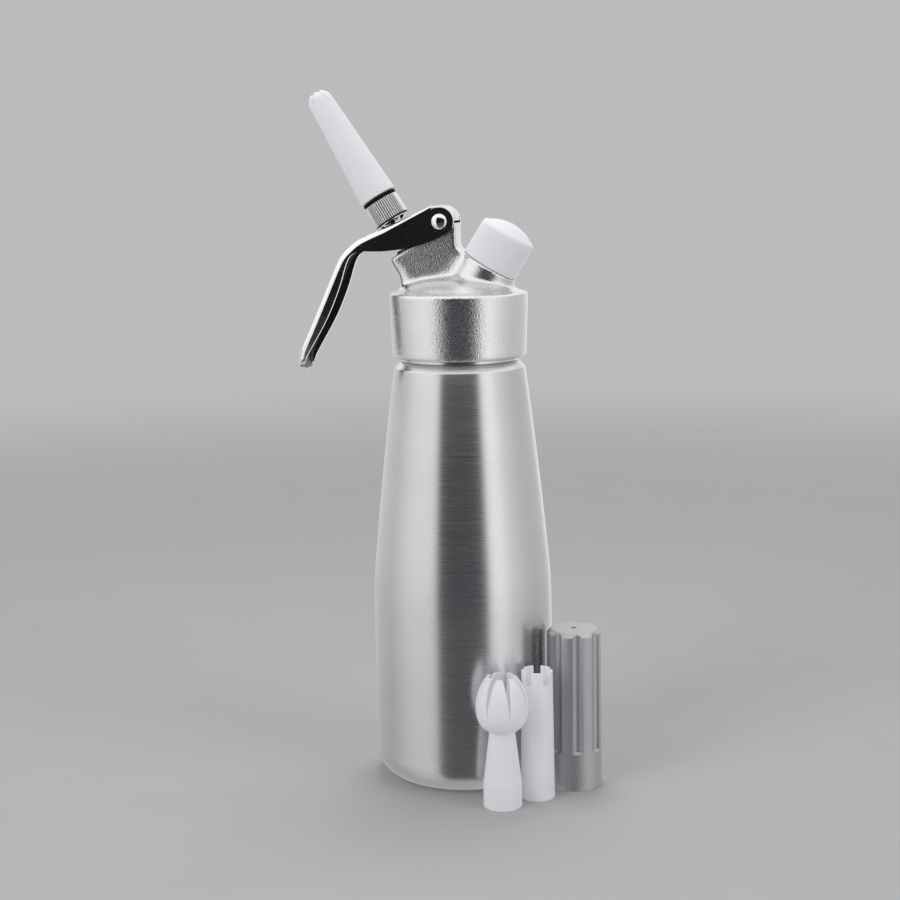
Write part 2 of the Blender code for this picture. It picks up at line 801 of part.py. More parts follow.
def o_ring(inner, outer, middle, thickness):
    """An oval section for a soft ring, as an outline that runs down its outer side."""
    points = []
    for number in range(ring_points):
        angle = math.pi / 2 - math.tau * (number + 0.5) / ring_points
        across = math.cos(angle) / math.cos(math.pi / ring_points)
        up = math.sin(angle) / math.cos(math.pi / ring_points)
        points.append(((inner + outer) / 2 + across * (outer - inner) / 2, middle + up * thickness / 2))
    return points


def make_spring():
    """The return spring: one helix of round wire, closed in at both ends."""
    ends = spring_wire / 2
    foot = spring_foot + ends
    top = spring_top - ends
    curve = bpy.data.curves.new("valve_spring", "CURVE")
    curve.dimensions = "3D"
    curve.bevel_depth = spring_wire / 2
    curve.bevel_resolution = 1
    curve.use_fill_caps = True
    count = spring_turns * spring_points_a_turn
    places = []
    for number in range(count + 1):
        share = number / count
        angle = math.tau * spring_turns * share
        height = foot + (top - foot) * share
        across, along = spring_coil_radius * math.cos(angle), spring_coil_radius * math.sin(angle)
        places.append(Vector((across, along, height)))
    spline = curve.splines.new("POLY")
    spline.points.add(count)
    for point, here in zip(spline.points, places):
        point.co = (*here, 1.0)
    nearest = min((places[i] - places[j]).length for i in range(count + 1)
                  for j in range(i + spring_points_a_turn // 2, count + 1))
    print("valve spring, least gap between its coils:", round((nearest - spring_wire) * 1000, 2), "mm")
    return place("valve_spring", mesh_of_curve("valve_spring", curve), stem_axis,
                 own_material(steel, "valve_spring"))


def make_adapter():
    """The knurled adapter with its spigot."""
    adapter = turned("nozzle_adapter", [
        (spigot_radius, spigot_top),
        (spigot_radius, adapter_top),
        (adapter_top_radius - adapter_bevel, adapter_top),
        (adapter_top_radius, adapter_top - adapter_bevel),
        (adapter_radius, adapter_foot + adapter_bevel),
        (adapter_radius - adapter_bevel, adapter_foot),
        (stem_neck_radius + gap, adapter_foot),
        (stem_neck_radius + gap, stud_top + gap),
        (spigot_bore_radius, stud_top + gap),
        (spigot_bore_radius, spigot_top),
    ], medium_steps, stem_axis, own_material(grey_satin, "nozzle_adapter"))
    grooves = wedges("knurl_grooves", adapter_ribs, adapter_radius - rib_depth, adapter_radius + overrun,
                     adapter_foot - overrun, adapter_top + gap, rib_groove, rib_groove, stem_axis)
    combine(adapter, grooves, "DIFFERENCE")


def petal_tip(name, outline, steps, parent, look, cutter):
    tip = turned(name, outline, steps, parent, own_material(look, name))
    combine(tip, cutter, "DIFFERENCE")
    return tip


def make_nozzle():
    """The mounted tip: a long cone with a socket, drawn in at the mouth and notched."""
    top = nozzle_foot + nozzle_length
    neck = top - nozzle_tip_length
    lip_height = top - nozzle_tip_length * nozzle_lip_share
    bore = nozzle_tip_radius - nozzle_wall
    mouth_bore = nozzle_mouth_radius - nozzle_wall
    lip = bend((nozzle_mouth_radius, top), (nozzle_tip_radius, lip_height), (nozzle_tip_radius, neck))
    inner_lip = bend((bore, neck), (bore, lip_height), (mouth_bore, top))
    outline = lip + [
        (nozzle_radius, nozzle_foot),
        (tip_socket_radius, nozzle_foot),
        (tip_socket_radius, spigot_top + gap),
    ] + inner_lip
    cutter = wedges("nozzle_notches", nozzle_petals, mouth_bore - gap / 2, nozzle_radius + overrun,
                    top - nozzle_notch_depth, top + overrun, notch_point_width, nozzle_notch_width,
                    stem_axis, nozzle_turn + math.pi / nozzle_petals)
    return petal_tip("nozzle_tip", outline, nozzle_steps, stem_axis, white_plastic, cutter)


def make_port():
    """The charger port: threaded stud, check valve, pin holder, needle and gasket."""
    seat = port_seat
    root = port_boss_reach - port_root_length
    floor = root + port_floor
    socket_top = floor + port_socket_depth
    stud_end = seat + port_stud_height
    turned("charger_port", [
        (port_stud_radius - overrun, stud_end),
        (port_stud_radius, stud_end - overrun),
        (port_stud_radius, seat),
        (port_root_radius, seat),
        (port_root_radius, root),
        (port_outlet_radius, root),
        (port_outlet_radius, floor),
        (port_socket_radius, floor),
        (port_socket_radius, socket_top),
        (port_bore_radius, socket_top),
        (port_bore_radius, stud_end),
    ], medium_steps, port_axis, own_material(steel, "charger_port"))
    holder_radius_in_port = port_socket_radius - gap
    holder_foot = floor + gap
    holder_top = holder_foot + pin_holder_height
    pocket_top = holder_foot + gap + valve_disc_thickness + gap
    turned("pin_holder", [
        (holder_radius_in_port, holder_top),
        (holder_radius_in_port, holder_foot),
        (valve_disc_radius + gap, holder_foot),
        (valve_disc_radius + gap, pocket_top),
        (pin_holder_bore, pocket_top),
        (pin_holder_bore, holder_top),
    ], small_steps, port_axis, own_material(brass, "pin_holder"))
    disc_foot = holder_foot + gap
    turned("check_valve", [
        (0.0, disc_foot + valve_disc_thickness),
        (valve_disc_radius, disc_foot + valve_disc_thickness),
        (valve_disc_radius, disc_foot),
        (0.0, disc_foot),
    ], tiny_steps, port_axis, own_material(black_rubber, "check_valve"))
    needle_foot = pocket_top + gap
    needle_top = needle_foot + needle_length
    turned("piercing_pin", [
        (0.0, needle_top),
        (needle_radius, needle_top - needle_point),
        (needle_radius, needle_foot),
        (0.0, needle_foot),
    ], tiny_steps, port_axis, own_material(steel, "piercing_pin"))
    gasket_foot = holder_top + gap
    ring("port_gasket", holder_radius_in_port, port_gasket_hole, gasket_foot,
         gasket_foot + port_gasket_thickness, small_steps, port_axis, red_rubber)


def make_cap():
    foot = port_seat
    top = foot + cap_height
    apex = top + cap_dome
    inside = port_stud_radius + gap
    roof = apex - cap_roof
    wall_top = foot + port_stud_height + overrun
    dome = []
    for number in range(corner_steps):
        share = number / corner_steps
        dome.append(((cap_top_radius - cap_edge_radius) * share, apex - cap_dome * share ** 2))
    edge_centre = (cap_top_radius - cap_edge_radius, top - cap_edge_radius)
    edge = arc(edge_centre, cap_edge_radius, 65.0, 0.0, flare_steps)
    turned("charger_cap", dome + edge + [
        (cap_radius, foot),
        (inside, foot),
        (inside, wall_top),
        (inside - overrun, wall_top + overrun),
        (0.0, roof),
    ], medium_steps, port_axis, own_material(white_plastic, "charger_cap"))


def standing(name, bearing, away):
    """Where a piece stands beside the bottle, as an upright empty at its foot."""
    return axis_empty(name, (away * math.cos(bearing), away * math.sin(bearing), 0.0))


def make_holder():
    """The charger holder: fluted tube, open at the bottom, with a small vent."""
    home = standing("holder_axis", holder_bearing, holder_away)
    holder = turned("charger_holder", [
        (holder_vent_radius, holder_height),
        (holder_top_radius - holder_top_bevel, holder_height),
        (holder_top_radius, holder_height - holder_top_bevel),
        (holder_radius, overrun / 2),
        (holder_radius - overrun / 2, 0.0),
        (port_stud_radius + gap, 0.0),
        (port_stud_radius + gap, port_stud_height),
        (holder_bore_radius, port_stud_height + overrun * 2),
        (holder_bore_radius, holder_height - holder_roof),
        (holder_vent_radius, holder_height - holder_roof),
    ], medium_steps, home, own_material(grey_satin, "charger_holder"))
    mesh = bpy.data.meshes.new("flutes")
    work = bmesh.new()
    ring_radius = holder_top_radius - flute_depth + flute_radius
    length = holder_height + overrun - flute_foot_height
    for number in range(flute_count):
        made = bmesh.ops.create_cone(work, cap_ends=True, segments=small_steps, radius1=flute_radius,
                                     radius2=flute_radius, depth=length)["verts"]
        angle = holder_turn + math.tau * number / flute_count
        shift = Vector((ring_radius * math.cos(angle), ring_radius * math.sin(angle),
                        flute_foot_height + length / 2))
        bmesh.ops.translate(work, vec=shift, verts=made)
    work.to_mesh(mesh)
    work.free()
    combine(holder, place("flutes", mesh, home), "DIFFERENCE")


def make_crown():
    home = standing("crown_axis", crown_bearing, crown_away)
    turned_outline = [
        (crown_top_radius, crown_height),
        (crown_radius, 0.0),
        (tip_socket_radius, 0.0),
        (tip_socket_radius, socket_depth),
        (crown_radius - crown_slope * socket_depth - crown_wall - overrun / 2, socket_depth + overrun),
        (crown_top_radius - crown_wall, crown_height),
    ]
    cutter = wedges("crown_slots", crown_teeth, crown_top_radius / 2, crown_radius + overrun,
                    crown_height - crown_slot_depth, crown_height + overrun, crown_slot_width,
                    crown_slot_width, home, crown_turn + math.pi / crown_teeth)
    petal_tip("crown_tip", turned_outline, medium_steps, home, white_plastic, cutter)


def make_tulip():
    home = standing("tulip_axis", tulip_bearing, tulip_away)
    flare = tulip_neck_height + (tulip_bulb_height - tulip_neck_height) * tulip_flare_share
    shoulder = tulip_bulb_height + tulip_radius
    outer = bend((tulip_mouth_radius, tulip_height), (tulip_bulb_radius, shoulder),
                 (tulip_bulb_radius, tulip_bulb_height))
    outer += bend((tulip_bulb_radius, tulip_bulb_height), (tulip_bulb_radius, flare),
                  (tulip_neck_radius, tulip_neck_height))[1:]
    outer += [(tulip_radius, tulip_base_height), (tulip_radius, 0.0)]
    cup_foot = tulip_neck_height + tulip_wall * 2
    cup_radius = tulip_bulb_radius - tulip_wall
    neck_inside = tulip_neck_radius - tulip_wall
    inner = bend((neck_inside, cup_foot), (cup_radius, flare + tulip_wall * 2),
                 (cup_radius, tulip_bulb_height))
    inner += bend((cup_radius, tulip_bulb_height), (cup_radius, shoulder),
                  (tulip_mouth_radius - tulip_wall, tulip_height))[1:]
    outline = outer + [
        (tip_socket_radius, 0.0),
        (tip_socket_radius, socket_depth),
        (neck_inside, tulip_neck_height - tulip_wall * 2),
    ] + inner
    cutter = wedges("tulip_slits", tulip_petals, tulip_mouth_radius - tulip_wall - gap,
                    tulip_bulb_radius + overrun, tulip_slit_foot, tulip_height + overrun, notch_point_width,
                    tulip_slit_width, home, tulip_turn + math.pi / tulip_petals)
    petal_tip("tulip_tip", outline, medium_steps, home, white_plastic, cutter)


def settle():
    """Fix the modifiers into the meshes, shade them smooth and keep the sharp edges."""
    bpy.context.view_layer.update()
    graph = bpy.context.evaluated_depsgraph_get()
    shapes = {}
    for thing in parts.objects:
        if thing.type == "MESH":
            shapes[thing.name] = bpy.data.meshes.new_from_object(thing.evaluated_get(graph))
    for name, mesh in shapes.items():
        thing = parts.objects[name]
        thing.modifiers.clear()
        thing.data = mesh
        mesh.name = name
        mesh.shade_smooth()
        mesh.set_sharp_from_angle(angle=math.radians(32.0))
    for thing in list(cutters.objects):
        thing.hide_set(True)


make_bottle()
ring("head_gasket", neck_radius, neck_radius - gasket_width, mouth_height + gap,
     mouth_height + gap + gasket_thickness, fine_steps, head_axis, black_rubber)
make_head()
make_lever()
make_pin()
make_valve()
make_spring()
make_adapter()
turned("adapter_o_ring", o_ring(spigot_radius + gap, spigot_radius + gap + adapter_ring_width,
                                ring_foot + adapter_ring_thickness / 2, adapter_ring_thickness),
       medium_steps, stem_axis, own_material(black_rubber, "adapter_o_ring"))
make_nozzle()
make_port()
make_cap()
make_holder()
make_crown()
make_tulip()
settle()
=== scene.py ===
# %% [markdown]
# # A whipped cream dispenser, dressed piece by piece
# The solids of this dispenser come from a CAD model: a bottle, a screwed head with a lever
# valve, a gas port with its cap, and three loose pieces that stand beside it. They could be
# given their finishes as they are, but they are cut from few flat faces, and polished metal
# would show every facet. So each visible piece is turned, bent or cast again here, from the
# same sizes, with a fine surface and a real finish.

import math

import bmesh
import bpy
import numpy as np
from mathutils import Matrix, Vector


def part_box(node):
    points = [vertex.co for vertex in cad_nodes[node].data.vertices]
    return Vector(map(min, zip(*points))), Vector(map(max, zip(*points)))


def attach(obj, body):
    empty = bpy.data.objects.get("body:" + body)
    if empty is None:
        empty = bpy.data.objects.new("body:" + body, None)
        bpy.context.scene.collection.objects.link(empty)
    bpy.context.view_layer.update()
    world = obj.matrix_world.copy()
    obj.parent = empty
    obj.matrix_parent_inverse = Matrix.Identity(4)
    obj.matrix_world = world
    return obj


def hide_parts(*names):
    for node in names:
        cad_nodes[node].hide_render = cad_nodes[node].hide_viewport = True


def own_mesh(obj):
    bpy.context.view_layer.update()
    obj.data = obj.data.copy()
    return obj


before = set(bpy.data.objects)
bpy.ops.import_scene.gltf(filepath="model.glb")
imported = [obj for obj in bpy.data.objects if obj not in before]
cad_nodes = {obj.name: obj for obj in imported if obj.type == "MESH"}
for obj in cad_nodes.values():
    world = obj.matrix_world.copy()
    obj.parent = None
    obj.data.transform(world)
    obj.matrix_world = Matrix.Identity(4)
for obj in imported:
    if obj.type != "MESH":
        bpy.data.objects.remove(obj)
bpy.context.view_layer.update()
print("nodes:", len(cad_nodes))

# %% [markdown]
# ## Sizes shared by several pieces
# A turned part is described by its radius and height, in metres. Every height could be typed,
# but where a node's box gives it, it is read from the frame, so the dressed pieces stay on
# their solids. The stem leans back by 31 degrees and the gas port leans forward by as much;
# each leaning axis gets a frame of its own, in which its pieces stand upright.

# %% Shared sizes and the leaning axes
bottle_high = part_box("bottle")[1]
bottle_radius = bottle_high.x
mouth_height = bottle_high.z
collar_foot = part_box("head")[0].z
rim_height = collar_foot + 0.0290
axis_tilt = math.radians(31.0)
web_slope = math.radians(23.6)
stem_foot = Vector((0.0, 0.0, rim_height - 0.0177))
port_foot = Vector((0.0, 0.0, rim_height - 0.0127))
pivot = Vector((-0.0063, 0.0, rim_height + 0.0305))
clearance = 0.0003
past = 0.0010
upright = Matrix.Identity(4)
stem_frame = Matrix.Translation(stem_foot) @ Matrix.Rotation(-axis_tilt, 4, "Y")
port_frame = Matrix.Translation(port_foot) @ Matrix.Rotation(axis_tilt, 4, "Y")
lever_frame = Matrix.Translation(pivot) @ Matrix.Rotation(-web_slope, 4, "Y")
pin_frame = Matrix.Translation(pivot) @ Matrix.Rotation(math.pi / 2, 4, "X")
print("bottle radius", round(bottle_radius * 1000, 1), "mm")
print("mouth at", round(mouth_height * 1000, 1), "mm")

# %% [markdown]
# ## Turned pieces
# Most of a dispenser comes off a lathe. Its corners could be bevelled on the finished mesh,
# but then the bevel has to guess which edges are corners. Here an outline of radius and height
# is swept round the axis, and the corners get their fillets in the outline, where each can
# have its own. No turned or moulded edge is knife sharp, and a fillet catches the light.

# %% Outlines with softened corners
def soften(corners, steps=4):
    """Outline points from corners of (radius, height, fillet); the two ends stay sharp."""
    points = []
    for number, (across, up, fillet) in enumerate(corners):
        here = Vector((across, up))
        if fillet <= 0.0 or number in (0, len(corners) - 1):
            points.append(tuple(here))
            continue
        back = Vector(corners[number - 1][:2]) - here
        ahead = Vector(corners[number + 1][:2]) - here
        half = back.angle(ahead) / 2
        cut = min(fillet / math.tan(half), 0.48 * min(back.length, ahead.length))
        radius = cut * math.tan(half)
        start, end = here + back.normalized() * cut, here + ahead.normalized() * cut
        inward = (back.normalized() + ahead.normalized()).normalized()
        centre = here + inward * (radius / math.sin(half))
        first = math.atan2(start.y - centre.y, start.x - centre.x)
        turn = math.atan2(end.y - centre.y, end.x - centre.x) - first
        turn = (turn + math.pi) % math.tau - math.pi
        for step in range(steps + 1):
            angle = first + turn * step / steps
            points.append((centre.x + radius * math.cos(angle),
                           centre.y + radius * math.sin(angle)))
    return points


def curve_through(first, corner, last, steps=8):
    """A soft curve from first to last that leans towards the corner."""
    points = []
    for step in range(steps + 1):
        t = step / steps
        points.append(tuple((1 - t) ** 2 * a + 2 * t * (1 - t) * b + t * t * c
                            for a, b, c in zip(first, corner, last)))
    return points


square = soften([(0, 1, 0), (1, 1, 0.2), (1, 0, 0)])
print("a softened square corner has", len(square) - 2, "points")

# %% [markdown]
# ### Sweeping an outline
# The Screw modifier can sweep an outline too. Here the points are set on rings by the script
# and neighbouring rings are joined with four-cornered faces, because the thread and the knurl
# later move single points, and for that their number and place must be known. A point on the
# axis closes its ring with triangles.

# %% Sweep an outline round its axis
def lathe(name, outline, frame_matrix=upright, steps=96, ring=False):
    """A turned mesh. The outline runs down the outer side; a ring's outline is closed."""
    rings, verts = [], []
    for radius, height in outline:
        if radius < 1e-7:
            rings.append([len(verts)] * steps)
            verts.append((0.0, 0.0, height))
            continue
        rings.append(list(range(len(verts), len(verts) + steps)))
        for step in range(steps):
            angle = math.tau * step / steps
            verts.append((radius * math.cos(angle), radius * math.sin(angle), height))
    pairs = list(zip(rings, rings[1:]))
    if ring:
        pairs.append((rings[-1], rings[0]))
    faces = []
    for above, below in pairs:
        for step in range(steps):
            after = (step + 1) % steps
            face = [above[step], below[step], below[after], above[after]]
            face = [v for n, v in enumerate(face) if v != face[n - 1]]
            if len(face) > 2:
                faces.append(face)
    mesh = bpy.data.meshes.new(name)
    mesh.from_pydata(verts, [], faces)
    return put(name, mesh, frame_matrix)


def put(name, mesh, frame_matrix=upright):
    """Stand the mesh in the scene, in its own frame."""
    piece = bpy.data.objects.new(name, mesh)
    bpy.context.scene.collection.objects.link(piece)
    piece.matrix_world = frame_matrix
    return piece


print("lathe ready")

# %% [markdown]
# ## Cutting, rounding and smoothing
# Slots and notches could be built face by face, but a boolean cut follows any curved wall by
# itself, as a cutter does. A narrow bevel then takes the sharpness off the cut edges, and
# weighted normals keep the flat faces flat while the fillets stay smooth.

# %% Helpers for cuts and clean shading
def cut(piece, tool, operation="DIFFERENCE", solver="EXACT", crossing=False):
    """Cut with the tool at once, and throw it away; a tool may cross itself."""
    change = piece.modifiers.new("cut", "BOOLEAN")
    change.operation = operation
    change.object = tool
    change.solver = solver
    change.use_self = crossing
    settle(piece)
    bpy.data.objects.remove(tool, do_unlink=True)


def settle(piece):
    """Make the modifiers part of the mesh."""
    bpy.context.view_layer.update()
    graph = bpy.context.evaluated_depsgraph_get()
    mesh = bpy.data.meshes.new_from_object(piece.evaluated_get(graph))
    piece.modifiers.clear()
    piece.data = mesh
    mesh.name = piece.name


def round_edges(piece, width, angle):
    """Round every edge that is sharper than the angle."""
    bevel = piece.modifiers.new("soft_edges", "BEVEL")
    bevel.width = width
    bevel.segments = 2
    bevel.limit_method = "ANGLE"
    bevel.angle_limit = math.radians(angle)
    settle(piece)


def shade(piece, angle):
    """Smooth shading, with a clean break at edges sharper than the angle."""
    piece.data.shade_smooth()
    piece.data.set_sharp_from_angle(angle=math.radians(angle))
    normals = piece.modifiers.new("even_normals", "WEIGHTED_NORMAL")
    normals.keep_sharp = True
    normals.weight = 80


def dress(piece, body, finish, slot, *stands_for, angle=32.0):
    """Smooth the piece; give it its finish, its body and the CAD nodes it stands for."""
    shade(piece, angle)
    piece.data.materials.clear()
    piece.data.materials.append(finish)
    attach(piece, body)
    if stands_for:
        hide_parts(*stands_for)
    print(f"{piece.name}: {len(piece.data.vertices)} points on body {body}")


print("cut, round, shade and dress ready")

# %% [markdown]
# ## Finishes
# Real metal and plastic are never one even colour. Marks could be painted on a picture, but a
# picture stretches over curved forms and has one size. So every finish is a Principled shader
# whose colour, roughness and surface relief come from noise at the scale of the real marks:
# brushing lines a fifth of a millimetre apart, blast grains of half a millimetre, faint wipe
# marks about a centimetre long.

# %% A small kit for wiring materials
def new_finish(name, colour, metallic, roughness):
    finish = bpy.data.materials.new(name)
    finish.use_nodes = True
    shader = shader_of(finish)
    shader.inputs["Base Color"].default_value = (*colour, 1.0)
    shader.inputs["Metallic"].default_value = metallic
    shader.inputs["Roughness"].default_value = roughness
    return finish


def shader_of(finish):
    return finish.node_tree.nodes["Principled BSDF"]


def noise(finish, stretch, detail=3.0, rough=0.55):
    """Noise in the piece's own coordinates; stretch is how often it changes per metre."""
    tree = finish.node_tree
    place = tree.nodes.new("ShaderNodeTexCoord")
    mapping = tree.nodes.new("ShaderNodeMapping")
    mapping.inputs["Scale"].default_value = stretch
    field = tree.nodes.new("ShaderNodeTexNoise")
    field.inputs["Scale"].default_value = 1.0
    field.inputs["Detail"].default_value = detail
    field.inputs["Roughness"].default_value = rough
    tree.links.new(place.outputs["Object"], mapping.inputs["Vector"])
    tree.links.new(mapping.outputs["Vector"], field.inputs["Vector"])
    return field.outputs["Fac"]


def map_range(tree, value, from_low, from_high, to_low=0.0, to_high=1.0):
    """A node that carries a value over from one range to another."""
    node = tree.nodes.new("ShaderNodeMapRange")
    ends = {"From Min": from_low, "From Max": from_high, "To Min": to_low, "To Max": to_high}
    for socket, end in ends.items():
        node.inputs[socket].default_value = end
    tree.links.new(value, node.inputs["Value"])
    return node


def mix_colours(tree, share, first, second, blend="MIX"):
    """Mix two colours by a share; the first may also come from another node."""
    node = tree.nodes.new("ShaderNodeMix")
    node.data_type = "RGBA"
    node.blend_type = blend
    tree.links.new(share, node.inputs[0])
    if isinstance(first, tuple):
        node.inputs[6].default_value = (*first, 1.0)
    else:
        tree.links.new(first, node.inputs[6])
    node.inputs[7].default_value = (*second, 1.0)
    return node.outputs[2]


print("nodes for noise, ranges and mixed colours ready")

# %% [markdown]
# ### From noise to finish
# One noise can steer the colour, the roughness and the relief of a finish. Each is kept small:
# two near colours, a narrow range of roughness, and a relief of about a tenth of a millimetre
# or less. More of any of them looks like dirt or hammered metal.

# %% What a noise can do to a finish
def between(finish, value, low, high):
    """Spread the middle half of a noise value over a range."""
    return map_range(finish.node_tree, value, 0.25, 0.75, low, high).outputs["Result"]


def tint(finish, value, dark, light):
    """Let a noise value wander between two near colours."""
    share = between(finish, value, 0.0, 1.0)
    colour = mix_colours(finish.node_tree, share, dark, light)
    finish.node_tree.links.new(colour, shader_of(finish).inputs["Base Color"])


def roughen(finish, value, low, high):
    """Let the roughness wander with a noise value."""
    share = between(finish, value, low, high)
    finish.node_tree.links.new(share, shader_of(finish).inputs["Roughness"])


def relief(finish, value, depth, strength=1.0):
    """Turn a value into surface relief of that depth in metres."""
    bump = finish.node_tree.nodes.new("ShaderNodeBump")
    bump.inputs["Strength"].default_value = strength
    bump.inputs["Distance"].default_value = depth
    finish.node_tree.links.new(value, bump.inputs["Height"])
    finish.node_tree.links.new(bump.outputs["Normal"], shader_of(finish).inputs["Normal"])


print("tint, roughen and relief ready")

# %% [markdown]
# ### Brushed aluminium for the bottle
# The bottle is brushed as it spins, so its lines run round it. Light smears across such
# lines: a lamp's reflection becomes a soft upright band. Relief alone would need lines finer
# than a render shows, so an anisotropic highlight with a tangent that circles the axis gives
# the band, and stretched noise gives the few lines that are coarse enough to see.

# %% Brushed aluminium
def make_brushed():
    finish = new_finish("brushed_aluminium", (0.66, 0.66, 0.665), 1.0, 0.27)
    shader = shader_of(finish)
    shader.inputs["Anisotropic"].default_value = 0.55
    shader.inputs["Anisotropic Rotation"].default_value = 0.25
    tangent = finish.node_tree.nodes.new("ShaderNodeTangent")
    tangent.direction_type = "RADIAL"
    tangent.axis = "Z"
    finish.node_tree.links.new(tangent.outputs["Tangent"], shader.inputs["Tangent"])
    lines = noise(finish, (35.0, 35.0, 5200.0), detail=4.0, rough=0.6)
    wiped = noise(finish, (14.0, 14.0, 30.0), detail=2.0)
    roughen(finish, lines, 0.21, 0.34)
    tint(finish, wiped, (0.635, 0.635, 0.645), (0.69, 0.69, 0.69))
    relief(finish, lines, 0.000025, strength=0.5)
    return finish


brushed = make_brushed()
print("brushed aluminium:", len(brushed.node_tree.nodes), "nodes")

# %% [markdown]
# ### Blasted castings and polished chrome
# The head is cast and blasted with beads: a satin skin whose grains sparkle in the dark part
# of a reflection. A rough shader alone would be an even grey there, so the grain is relief on
# a fairly clear metal. The lever and its pin are polished and chromed, so only faint wipe
# marks disturb them. The channel's inside is out of the polishing wheel's reach and stays dull;
# its near-black colour is painted shade for the shade inside the channel.

# %% Blasted, chromed and dull finishes; the dull one is dark with painted shade
def make_blasted():
    finish = new_finish("blasted_aluminium", (0.72, 0.72, 0.72), 1.0, 0.36)
    grain = noise(finish, (1700.0, 1700.0, 1700.0), detail=1.5, rough=0.6)
    cloud = noise(finish, (45.0, 45.0, 45.0), detail=2.0)
    roughen(finish, grain, 0.18, 0.32)
    tint(finish, cloud, (0.72, 0.72, 0.725), (0.79, 0.79, 0.785))
    relief(finish, grain, 0.00011)
    return finish


def make_chrome():
    finish = new_finish("polished_chrome", (0.84, 0.84, 0.85), 1.0, 0.05)
    wipe = noise(finish, (60.0, 60.0, 160.0))
    wave = noise(finish, (90.0, 90.0, 90.0), detail=1.0)
    roughen(finish, wipe, 0.035, 0.10)
    tint(finish, wipe, (0.81, 0.81, 0.825), (0.86, 0.86, 0.865))
    relief(finish, wave, 0.00003, strength=0.25)
    return finish


# Rougher steel for the channel's inside; its near-black colour is painted shade.
def make_dull_shaded():
    finish = new_finish("dull_steel_painted_shade", (0.13, 0.125, 0.12), 1.0, 0.4)
    stains = noise(finish, (220.0, 220.0, 220.0), detail=4.0)
    roughen(finish, stains, 0.32, 0.50)
    tint(finish, stains, (0.10, 0.095, 0.09), (0.17, 0.165, 0.16))
    relief(finish, stains, 0.00003, strength=0.3)
    return finish


blasted, chrome, dull = make_blasted(), make_chrome(), make_dull_shaded()
print("made", blasted.name, chrome.name, dull.name)

# %% [markdown]
# ### Turned metal
# Small turned parts keep fine rings from the tool, too fine to model. Noise that is stretched
# flat across the axis draws them. One maker serves every turned metal, and a nearly black one
# is painted shade at the bottom of the adapter's grooves and under the adapter's foot.

# %% Turned finishes
def make_turned(name, dark, light, low, high):
    finish = new_finish(name, light, 1.0, low)
    rings = noise(finish, (300.0, 300.0, 6000.0))
    roughen(finish, rings, low, high)
    tint(finish, rings, dark, light)
    relief(finish, rings, 0.00002, strength=0.4)
    return finish


steel = make_turned("turned_steel", (0.50, 0.50, 0.51), (0.60, 0.60, 0.61), 0.20, 0.32)
brass = make_turned("turned_brass", (0.22, 0.13, 0.07), (0.32, 0.20, 0.11), 0.30, 0.45)
adapter_metal = make_turned("turned_aluminium", (0.74, 0.74, 0.77), (0.84, 0.84, 0.87),
                            0.30, 0.40)
# A nearly black turned metal: painted shade for the adapter's grooves and its foot.
painted_shade_metal = make_turned("groove_shade", (0.05, 0.045, 0.055), (0.09, 0.085, 0.10),
                           0.40, 0.55)
print("made", steel.name, brass.name, adapter_metal.name, painted_shade_metal.name)

# %% [markdown]
# ### Anodised grey, white plastic and rubber
# The charger holder is blasted and anodised grey. The tips and the cap are white moulded
# plastic with a faint blue cast and a fine spark-eroded texture. Plastic could be plain white
# paint, but its soft look comes from light that travels under the skin, so it gets a little
# subsurface. It also glows faintly and evenly: painted light that lifts its shaded sides, in
# place of light through the thin walls. The rings are dull black rubber and the seals a dark red
# one.

# %% Anodised, plastic and rubber finishes
def make_anodised():
    finish = new_finish("anodised_grey", (0.48, 0.48, 0.50), 0.75, 0.40)
    grain = noise(finish, (2400.0, 2400.0, 2400.0), detail=1.0, rough=0.6)
    cloud = noise(finish, (60.0, 60.0, 30.0), detail=2.0)
    roughen(finish, grain, 0.33, 0.47)
    tint(finish, cloud, (0.46, 0.465, 0.485), (0.52, 0.525, 0.54))
    relief(finish, grain, 0.00014)
    return finish


def make_plastic():
    finish = new_finish("white_plastic", (0.86, 0.865, 0.895), 0.0, 0.42)
    shader = shader_of(finish)
    shader.inputs["Specular IOR Level"].default_value = 0.45
    shader.inputs["Subsurface Weight"].default_value = 0.4
    shader.inputs["Subsurface Radius"].default_value = (1.0, 0.97, 0.95)
    shader.inputs["Subsurface Scale"].default_value = 0.0030
    # A faint even glow: painted light that brightens the shaded sides of the plastic.
    shader.inputs["Emission Color"].default_value = (0.93, 0.94, 1.0, 1.0)
    shader.inputs["Emission Strength"].default_value = 0.08
    skin = noise(finish, (2200.0, 2200.0, 2200.0), detail=2.0)
    flow = noise(finish, (40.0, 40.0, 18.0), detail=2.0)
    roughen(finish, skin, 0.38, 0.50)
    tint(finish, flow, (0.815, 0.82, 0.86), (0.85, 0.855, 0.89))
    relief(finish, skin, 0.00004, strength=0.25)
    return finish


def make_rubber(name, dark, light):
    finish = new_finish(name, light, 0.0, 0.6)
    shader_of(finish).inputs["Specular IOR Level"].default_value = 0.04
    skin = noise(finish, (1800.0, 1800.0, 1800.0))
    roughen(finish, skin, 0.50, 0.70)
    tint(finish, skin, dark, light)
    relief(finish, skin, 0.00004, strength=0.3)
    return finish


anodised, plastic = make_anodised(), make_plastic()
black_rubber = make_rubber("black_rubber", (0.008, 0.008, 0.008), (0.016, 0.016, 0.017))
red_rubber = make_rubber("seal_rubber", (0.34, 0.08, 0.06), (0.44, 0.11, 0.08))
print("made", anodised.name, plastic.name, black_rubber.name, red_rubber.name)

# %% [markdown]
# ## The bottle
# The bottle is one drawn shell: a flat base with a wide round corner, a straight wall, a
# cone that curves in, a chamfered shoulder and a neck. A solid with a thickness modifier would
# also give a shell, but the wall would be as thick at the corners as elsewhere. One closed
# outline, outside first and then back up the inside, keeps both skins under control.

# %% Bottle outline
cone_foot, cone_height = 0.0880, 0.0980
shoulder_radius = 0.0292
neck_radius = 0.0257
neck_foot = 0.1889
base_corner = 0.0120
cone_top, cone_bottom = 0.1830, 0.0760
wall = 0.0020


